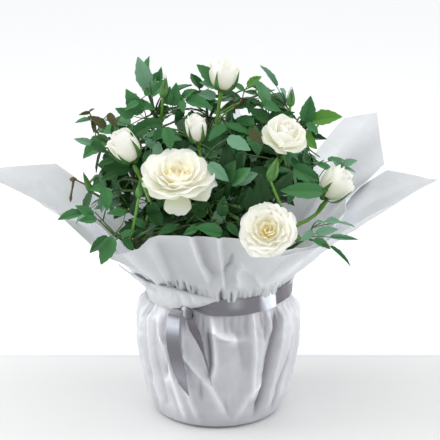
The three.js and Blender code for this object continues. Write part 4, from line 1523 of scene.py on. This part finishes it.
SPRAY_ODDS = ["leaves_dark"] * 6 + ["leaves_mid"] * 10 + ["leaves_blue"] * 6 + ["leaves_fresh"] * 3
SHOOTS_PER_MASS, SHOOTS_AT_RIGHT = 13, 8
leaf_count = 0
for index, (name, (middle, half)) in enumerate(mass_boxes.items()):
    draw = random.Random(500 + index)
    for way_out in directions(SHOOTS_AT_RIGHT if middle[0] > 38 else SHOOTS_PER_MASS):
        if way_out[2] < -0.75:
            continue
        target = middle + half * way_out * draw.uniform(0.45, 0.8)
        start, way = nearest_on(CANES + BOUGHS, target, 0.5, 1.0)
        spray = draw.choice(SPRAY_ODDS)
        # Low sprays take the darker colours: painted shade.
        if target[2] < 222 and spray != "leaves_blue":
            spray = "leaves_shade" if draw.random() < 0.55 else "leaves_dark"
        leaf_count += grow_shoot(draw, start, way, target, leaf_heaps[spray])
print("compound leaves:", leaf_count)

# %% [markdown]
# Low shoots fill the mouth of the paper and lean out over its edge, darker than the rest: painted shade.

# %% Low shoots over the paper
LOW_SHOOTS = 240
low_count = 0
draw = random.Random(640)
for i in range(LOW_SHOOTS):
    bearing = (i * 137.5) % 360
    radius = draw.uniform(46, 94)
    if (286 < bearing or bearing < 20 or 165 < bearing < 222) and radius > 60:
        bearing = draw.uniform(222, 286)
    rims = [edge_at(edge, np.array([bearing])) for edge in (INNER_EDGE, OUTER_EDGE)]
    paper = max(float(height[0] - TIE_HEIGHT) * (radius - 60) / float(away[0] - 60) for away, height in rims)
    target = around(radius, bearing, TIE_HEIGHT + max(paper, 8) + draw.uniform(12, 34))
    start, way = nearest_on(CANES + BOUGHS, target - (0, 0, 20), 0.35, 1.0)
    # Mostly the shade colour: painted shade.
    spray = draw.choice(["leaves_shade"] * 9 + ["leaves_dark"] * 2 + ["leaves_mid"])
    low_count += grow_shoot(
        draw, start, way, target, leaf_heaps[spray], thickness=0.62, leaf_length=38, slack=20
    )
print("leaves on low shoots:", low_count)

# %% [markdown]
# ## Roses
# An open rose is built from rings of petals. The small ones in the middle stand up round the golden
# heart, each ring outside leans out further, and the outermost roll their edges back. Each petal is a
# small curved grid, closed with an inner skin just under 0.3 millimetres away.


# %% Petals
PETAL_ACROSS = np.linspace(-1, 1, 13)
PETAL_UP = np.linspace(0, 1, 10)
PETAL_THICKNESS, SEPAL_THICKNESS = 0.28, 0.3


def bezier(controls, t):
    a, b, c, d = (np.asarray(control, float) for control in controls)
    t = t[..., None]
    return (1 - t) ** 3 * a + 3 * (1 - t) ** 2 * t * b + 3 * (1 - t) * t**2 * c + t**3 * d


def shell(grid, thickness):
    """Closes a curved grid of points: a second skin that shares its edge. Returns points and faces."""
    rows, columns = grid.shape[:2]
    along, across = np.gradient(grid, axis=0), np.gradient(grid, axis=1)
    normals = np.cross(across, along)
    normals /= np.linalg.norm(normals, axis=-1, keepdims=True) + 1e-9
    inner = (grid - normals * thickness)[1:-1, 1:-1]
    number = lambda i, j: i * columns + j
    inside = lambda i, j: rows * columns + (i - 1) * (columns - 2) + j - 1
    under = lambda i, j: inside(i, j) if 0 < i < rows - 1 and 0 < j < columns - 1 else number(i, j)
    faces = []
    for i in range(rows - 1):
        for j in range(columns - 1):
            faces.append((number(i, j), number(i, j + 1), number(i + 1, j + 1), number(i + 1, j)))
            faces.append((under(i, j), under(i + 1, j), under(i + 1, j + 1), under(i, j + 1)))
    return np.concatenate([grid.reshape(-1, 3), inner.reshape(-1, 3)]), faces


def petal(profile, half_width, turn, flatness, wave, phase, notch=0.22, point=False):
    """A petal round the +Z axis; profile gives (distance, height) controls in millimetres."""
    across, up = np.meshgrid(PETAL_ACROSS, PETAL_UP)
    reach = up * (1 - notch * np.abs(across) ** 2.4 * fade(up, 0.3, 1))
    ruffle = 0.05 * bell(across, 0, 0.2) + 0.025 * np.sin(across * 9 + phase)
    reach = reach + ruffle * fade(up, 0.75, 1) * (0 if point else min(wave, 1))
    curve = bezier(profile, np.clip(reach, 0, 1.05))
    radius, height = curve[..., 0], curve[..., 1]
    if point:
        width = half_width * np.sin(np.pi * np.clip(reach, 0, 1) ** 0.6) ** 0.8 * (1 - 0.35 * reach) + 0.05
    else:
        widening = 0.26 + 0.74 * np.sin(np.pi / 2 * np.clip(reach / 0.72, 0, 1))
        width = half_width * widening * (1 - 0.12 * fade(reach, 0.75, 1))
    angle = np.clip(across * width / np.maximum(radius, half_width * 0.34), -1.9, 1.9)
    spread = radius * (1 + flatness * (1 / np.cos(np.clip(angle, -1, 1)) - 1))
    height = height + wave * up**2 * np.sin(across * 4.2 + phase)
    spread = spread + wave * 0.6 * up**2 * np.cos(across * 5.3 + 2 * phase)
    turned = turn + angle
    grid = np.stack([spread * np.cos(turned), spread * np.sin(turned), height], axis=-1)
    return grid, reach


# Rings from the outermost in: petals, (distance, height) controls and half width as shares of the
# flower's half width and depth, flatness, wave and how golden the ring is.
FULL_RINGS = [
    (6, [(0.06, 0.0), (0.5, 0.0), (0.86, 0.46), (1.02, 0.3)], 0.54, 0.75, 2.0, 0.0),
    (6, [(0.06, 0.02), (0.5, 0.04), (0.8, 0.5), (0.92, 0.52)], 0.5, 0.65, 1.7, 0.0),
    (6, [(0.06, 0.05), (0.44, 0.06), (0.66, 0.54), (0.77, 0.7)], 0.44, 0.5, 1.3, 0.05),
    (6, [(0.06, 0.08), (0.36, 0.1), (0.54, 0.58), (0.6, 0.82)], 0.36, 0.4, 1.1, 0.2),
    (6, [(0.05, 0.1), (0.28, 0.12), (0.42, 0.58), (0.43, 0.82)], 0.27, 0.3, 0.9, 0.55),
    (7, [(0.04, 0.12), (0.2, 0.2), (0.3, 0.5), (0.27, 0.72)], 0.17, 0.3, 0.8, 0.95),
    (5, [(0.02, 0.15), (0.1, 0.2), (0.16, 0.45), (0.09, 0.6)], 0.12, 0.3, 0.6, 1.1),
]
HIGH_RINGS = [
    (5, [(0.06, 0.0), (0.6, -0.05), (1.0, 0.5), (1.04, 0.28)], 0.66, 0.6, 1.6, 0.0),
    (4, [(0.06, 0.02), (0.62, 0.02), (0.86, 0.6), (0.86, 0.84)], 0.64, 0.35, 1.1, 0.0),
    (4, [(0.05, 0.05), (0.48, 0.08), (0.62, 0.62), (0.56, 0.98)], 0.54, 0.25, 0.9, 0.1),
    (4, [(0.04, 0.1), (0.32, 0.15), (0.4, 0.7), (0.3, 1.06)], 0.4, 0.2, 0.7, 0.25),
    (3, [(0.03, 0.1), (0.16, 0.2), (0.22, 0.7), (0.1, 1.08)], 0.24, 0.2, 0.5, 0.35),
]
CUP_RINGS = [
    (3, [(0.1, 0.0), (0.98, -0.02), (1.1, 0.6), (0.94, 0.86)], 1.1, 0.1, 0.5, 0.0),
    (3, [(0.1, 0.02), (0.9, 0.04), (0.96, 0.62), (0.68, 0.96)], 1.0, 0.1, 0.5, 0.05),
    (4, [(0.08, 0.06), (0.64, 0.1), (0.68, 0.7), (0.42, 1.0)], 0.76, 0.1, 0.6, 0.15),
    (4, [(0.04, 0.1), (0.4, 0.2), (0.42, 0.75), (0.2, 1.0)], 0.5, 0.1, 0.6, 0.3),
]
RAGGED_RINGS = [
    (4, [(0.1, 0.0), (0.96, -0.02), (0.98, 0.66), (1.1, 0.92)], 0.84, 0.1, 3.4, 0.1),
    (4, [(0.1, 0.02), (0.86, 0.04), (0.84, 0.68), (0.86, 1.0)], 0.74, 0.1, 3.0, 0.25),
    (4, [(0.08, 0.06), (0.62, 0.1), (0.6, 0.7), (0.52, 1.02)], 0.56, 0.1, 2.4, 0.35),
    (4, [(0.04, 0.1), (0.34, 0.2), (0.36, 0.75), (0.22, 1.0)], 0.42, 0.1, 1.6, 0.45),
]


def bloom_axes(facing):
    """Three axes for a bloom that faces one way."""
    up = unit(np.array(facing, float))
    side = unit(np.cross(up, (0.13, 0.98, 0.11)))
    return np.array([side, np.cross(up, side), up])


def add_part(heap, foot, axes, part):
    """Puts the points and faces of one part on its flower."""
    points, faces = part
    heap.add(foot + points @ axes, faces)


def add_petal(heap, foot, axes, grid, reach, gold, green):
    """Closes one petal and puts it on its flower, with its gold and green marks."""
    points, faces = shell(grid, PETAL_THICKNESS)
    base = 1 - np.concatenate([reach.ravel(), reach[1:-1, 1:-1].ravel()])
    marks = [np.clip(base * (0.32 + 1.15 * gold) + 0.1 * gold, 0, 1), np.clip(green * (0.25 + base), 0, 1)]
    heap.add(foot + points @ axes, faces, np.stack(marks, axis=-1))


def add_rose(draw, heap, foot, facing, width, depth, rings, hearts, fallen=()):
    """A flower from its rings; fallen petals hang out of it, each towards one way."""
    axes = bloom_axes(facing)
    for ring, (count, profile, size, flat, wave, gold) in enumerate(rings):
        for i in range(count):
            turn = ring * GOLDEN_TURN + i * 2 * math.pi / count + draw.uniform(-0.16, 0.16)
            stretch = np.array([draw.uniform(0.93, 1.04) + 0.035 * (i % 2), draw.uniform(0.92, 1.06)])
            shape = np.array(profile) * (width / 2, depth) * stretch
            half = width / 2 * size * draw.uniform(0.9, 1.1)
            ruffle = wave * width / 60 * draw.uniform(0.6, 1.3)
            grid, reach = petal(shape, half, turn, flat, ruffle, draw.uniform(0, 6))
            slope = np.array([draw.gauss(0, 0.07), draw.gauss(0, 0.07)])
            grid[..., 2] += grid[..., :2] @ slope
            if size < 0.3:
                nudge = np.array([draw.gauss(0, 1), draw.gauss(0, 1), 0.5 * draw.gauss(0, 1)])
                grid = grid + width * 0.014 * nudge
            green = draw.choice((0, 0.25, 0.7)) if ring == 0 else 0
            add_petal(heap, foot, axes, grid, reach, gold * hearts, green)
    for way, profile, size in fallen:
        local = axes @ np.array(way, float)
        shape = np.array(profile) * (width / 2, depth)
        grid, reach = petal(shape, width / 2 * size, math.atan2(local[1], local[0]), 0.6, 0.8, 2.0)
        add_petal(heap, foot, axes, grid, reach, 0.25, 0.8)


# Controls as shares of the flower's half width and depth.
SEPAL_OPEN = [(0.08, -0.02), (0.3, -0.06), (0.42, -0.16), (0.5, -0.34)]
SEPAL_HUGGING = [(0.16, -0.03), (0.95, -0.12), (1.2, 0.25), (1.2, 0.66)]


def add_calyx(draw, heap, foot, facing, width, depth, controls, sepals=5):
    """The swollen green base of a flower, and the sepals round it."""
    axes = bloom_axes(facing)
    scale = depth / 29
    path = np.array([(0, 0, -5.2), (0, 0, -3.8), (0, 0, -2), (0, 0, 0), (0, 0, 1.4)]) * (1, 1, scale)
    add_part(heap, foot, axes, tube(path, np.array([1.7, 2.9, 3.5, 3.2, 1.2]) * scale, 12))
    for i in range(sepals):
        profile = np.array(controls, float) * (width / 2, depth * draw.uniform(0.85, 1.2))
        turn = i * 2 * np.pi / sepals + draw.uniform(-0.2, 0.2)
        grid, _ = petal(profile, 4.2 * scale, turn, 0.2, 0.5, draw.uniform(0, 6), 0, True)
        add_part(heap, foot, axes, shell(grid, SEPAL_THICKNESS))


def add_bud(draw, heap, foot, facing, length, width):
    """A closed green bud, wrapped in sepals that meet in a point."""
    axes = bloom_axes(facing)
    steps = np.linspace(0, 1, 9)
    path = np.stack([0 * steps, 0 * steps, steps * length * 0.86], axis=-1)
    radii = width / 2 * np.array([0.45, 0.85, 0.98, 1.0, 0.9, 0.72, 0.5, 0.28, 0.08])
    add_part(heap, foot, axes, tube(path, radii, 10))
    for i in range(5):
        bow = width / 2
        tip = (0.3, length * draw.uniform(1.0, 1.35))
        profile = [(bow * 0.5, 0), (bow * 1.5, length * 0.2), (bow * 1.1, length * 0.62), tip]
        grid, _ = petal(profile, bow * 0.85, i * 1.2566, 0.1, 0.2, draw.uniform(0, 6), 0, True)
        add_part(heap, foot, axes, shell(grid, SEPAL_THICKNESS))


# %% [markdown]
# Petals are creamy white, greenish yellow where light sinks between them, and gold at the heart. Two
# marks stored on the points say how golden and how green a petal is at each place.

# %% Flowers on their stems
# The petals glow faintly in their own colour: painted light for the light that passes through them.
petal_finish = Finish(
    "rose_petal", Roughness=0.5, Emission_Strength=0.09,
    Subsurface_Weight=0.5, Subsurface_Radius=(1, 0.95, 0.8), Subsurface_Scale=0.005,
)
gold_mark = petal_finish.mark("gold")
green_mark = petal_finish.mark("green")
cream = petal_finish.ramp(gold_mark, [
    (0.0, (0.93, 0.925, 0.875)), (0.3, (0.94, 0.92, 0.76)), (0.6, (0.93, 0.84, 0.48)),
    (1.0, (0.86, 0.64, 0.17)),
])
petal_color = petal_finish.mix(green_mark * 0.7, cream, (0.62, 0.72, 0.4))
petal_finish.set("Base Color", petal_color)
petal_finish.set("Emission Color", petal_color)
petal_veins = petal_finish.noise(200, 2, 0.5, vector=petal_finish.stretched((1, 1, 0.4)))
petal_finish.bump(petal_veins, 0.12, 0.0006)

# Name: foot, facing, width, depth, rings, how golden, and whether its sepals hug the petals.
ROSES = {
    "front": ((-33.5, -62, 228), (0.06, -0.42, 0.9), 63, 23, FULL_RINGS, 0.9, False),
    "low_right": ((43, -86, 192), (-0.06, -0.84, 0.52), 48, 21, FULL_RINGS, 0.65, False),
    "upper_right": ((56, -34, 257), (0.26, -0.5, 0.82), 37, 22, HIGH_RINGS, 0.6, False),
    "left": ((-72, -36, 244), (-0.55, -0.2, 0.82), 24, 28, CUP_RINGS, 0.3, True),
    "middle": ((-17, -30, 258), (-0.1, -0.24, 0.96), 17, 25, CUP_RINGS, 0.8, True),
    "top": ((4, 4, 297), (0.12, 0.02, 0.98), 26, 24, RAGGED_RINGS, 0.5, True),
    "right": ((94, -36, 211), (0.66, -0.14, 0.74), 27, 29, CUP_RINGS, 0.3, True),
}
HANGING = [(0.1, 0.02), (0.6, -0.05), (0.88, -0.08), (0.98, -0.4)]
FALLEN = {"front": [((0.02, -0.7, -0.7), HANGING, 0.36)], "low_right": [((-0.75, -0.1, -0.7), HANGING, 0.42)]}
petals, sepals = Heap(), Heap()
for index, (name, (foot, facing, width, depth, rings, hearts, hugging)) in enumerate(ROSES.items()):
    draw = random.Random(900 + index)
    foot = np.array(foot, float)
    add_rose(draw, petals, foot, facing, width, depth, rings, hearts, FALLEN.get(name, ()))
    add_calyx(draw, sepals, foot, facing, width, depth, SEPAL_HUGGING if hugging else SEPAL_OPEN)
settle(petals.piece(("gold", "green")), "rose_petals", petal_finish, BLOOMS, smooth=60)

# %% [markdown]
# ## Buds
# Closed green buds stand on thin stalks above the leaves, and one old flower at the left has dried.

# %% Buds
SEPAL_COLORS = [(0.3, (0.045, 0.15, 0.03)), (0.7, (0.1, 0.26, 0.05))]
sepal_finish, _ = mottled("sepal_green", 0.5, (160, 3), SEPAL_COLORS, 0.2, 0.0004)
# Foot, facing, length and width of each bud.
BUDS = [
    ((-47, -10, 292), (0.12, -0.1, 1), 17, 7.5),
    ((64, -10, 284), (0.05, -0.1, 1), 15, 7),
    ((44.5, -75, 234), (0.3, -0.2, 1), 20, 9),
    ((-66, -72, 218), (0.1, -0.2, 1), 14, 6),
    ((-110, -30, 212), (-0.35, -0.1, 1), 15, 5.5),
]
draw = random.Random(77)
bud_stalks = Heap()
for foot, facing, length, width in BUDS:
    foot = np.array(foot, float)
    add_bud(draw, sepals, foot, facing, length, width)
    way = unit(np.array(facing, float))
    start, _ = nearest_on(CANES + BOUGHS, foot - 40 * way, 0.2, 1.0)
    path = smooth_route([start, (start + foot) / 2 - 3 * way, foot + 0.5 * way], 20)
    bud_stalks.add(*tube(path, np.linspace(1.5, 1.1, 20), 7, relief=0.04, seed=2))
settle(sepals.piece(), "sepals_and_buds", sepal_finish, smooth=50)

# One old flower has dried to a brown ball with a hanging strip, and three small calyxes have turned red.
DRIED_COLORS = [(0.3, (0.1, 0.062, 0.03)), (0.7, (0.2, 0.14, 0.07))]
RED_COLORS = [(0.3, (0.2, 0.03, 0.02)), (0.7, (0.3, 0.07, 0.04))]
dried_finish, _ = mottled("dried_flower", 0.8, (300, 3), DRIED_COLORS, 0.4, 0.0006)
red_finish, _ = mottled("red_calyx", 0.5, (300, 2), RED_COLORS, 0.2, 0.0004)
DRIED_BALL = [
    (-112, -30, 217), (-117, -30, 220), (-121, -30, 222), (-123.5, -30, 223.5), (-125.6, -30, 223),
    (-126.4, -30, 221.5),
]
DRIED_STRIP = [(-125, -30, 222), (-126, -31, 216), (-127.5, -31, 209), (-128, -31, 203)]
dried = Heap()
ball_radii = np.interp(np.arange(14), [0, 6, 8, 10, 12, 13], [0.6, 0.7, 1.6, 2.8, 2.4, 0.8])
strip_radii = np.interp(np.arange(12), [0, 4, 9, 11], [1.2, 0.8, 1.3, 0.3])
dried.add(*tube(smooth_route(DRIED_BALL, 14), ball_radii, 9, relief=0.2))
dried.add(*tube(smooth_route(DRIED_STRIP, 12), strip_radii, 7, relief=0.2))
settle(dried.piece(), "dried_flower", dried_finish, smooth=60)
CALYX_ROUTE = np.array([(0, 0, 0), (0.2, 0, 0.9), (0.5, 0, 2.2), (0.8, 0, 3.2)])
calyxes = Heap()
for spot in ((15.5, -8, 283), (20.5, -8, 287), (22, -40, 226)):
    foot = np.array(spot, float)
    start, _ = nearest_on(CANES + BOUGHS + STEMS, foot - (0, 0, 14), 0.3, 1.0)
    path = smooth_route([start, (start + foot) / 2 + (1, -1, 2), foot], 10)
    bud_stalks.add(*tube(path, np.linspace(0.8, 0.5, 10), 5))
    calyxes.add(*tube(foot + CALYX_ROUTE, np.array([0.5, 1.3, 1.2, 0.3]), 8))
settle(calyxes.piece(), "red_calyxes", red_finish, smooth=60)
settle(bud_stalks.piece(), "bud_stalks", green_stem, smooth=50)

# %% Leaves and twigs
TWIG_COLORS = [(0.3, (0.06, 0.055, 0.022)), (0.42, (0.05, 0.1, 0.025)), (0.7, (0.085, 0.18, 0.04))]
twig_finish, _ = mottled("twig", 0.5, (180, 3), TWIG_COLORS, 0.2, 0.0004)
settle(twigs.piece(), "twigs", twig_finish, MASSES, smooth=50)
for name, heap in leaf_heaps.items():
    settle(heap.piece(), name, leaf_finishes[name], MASSES, smooth=24)
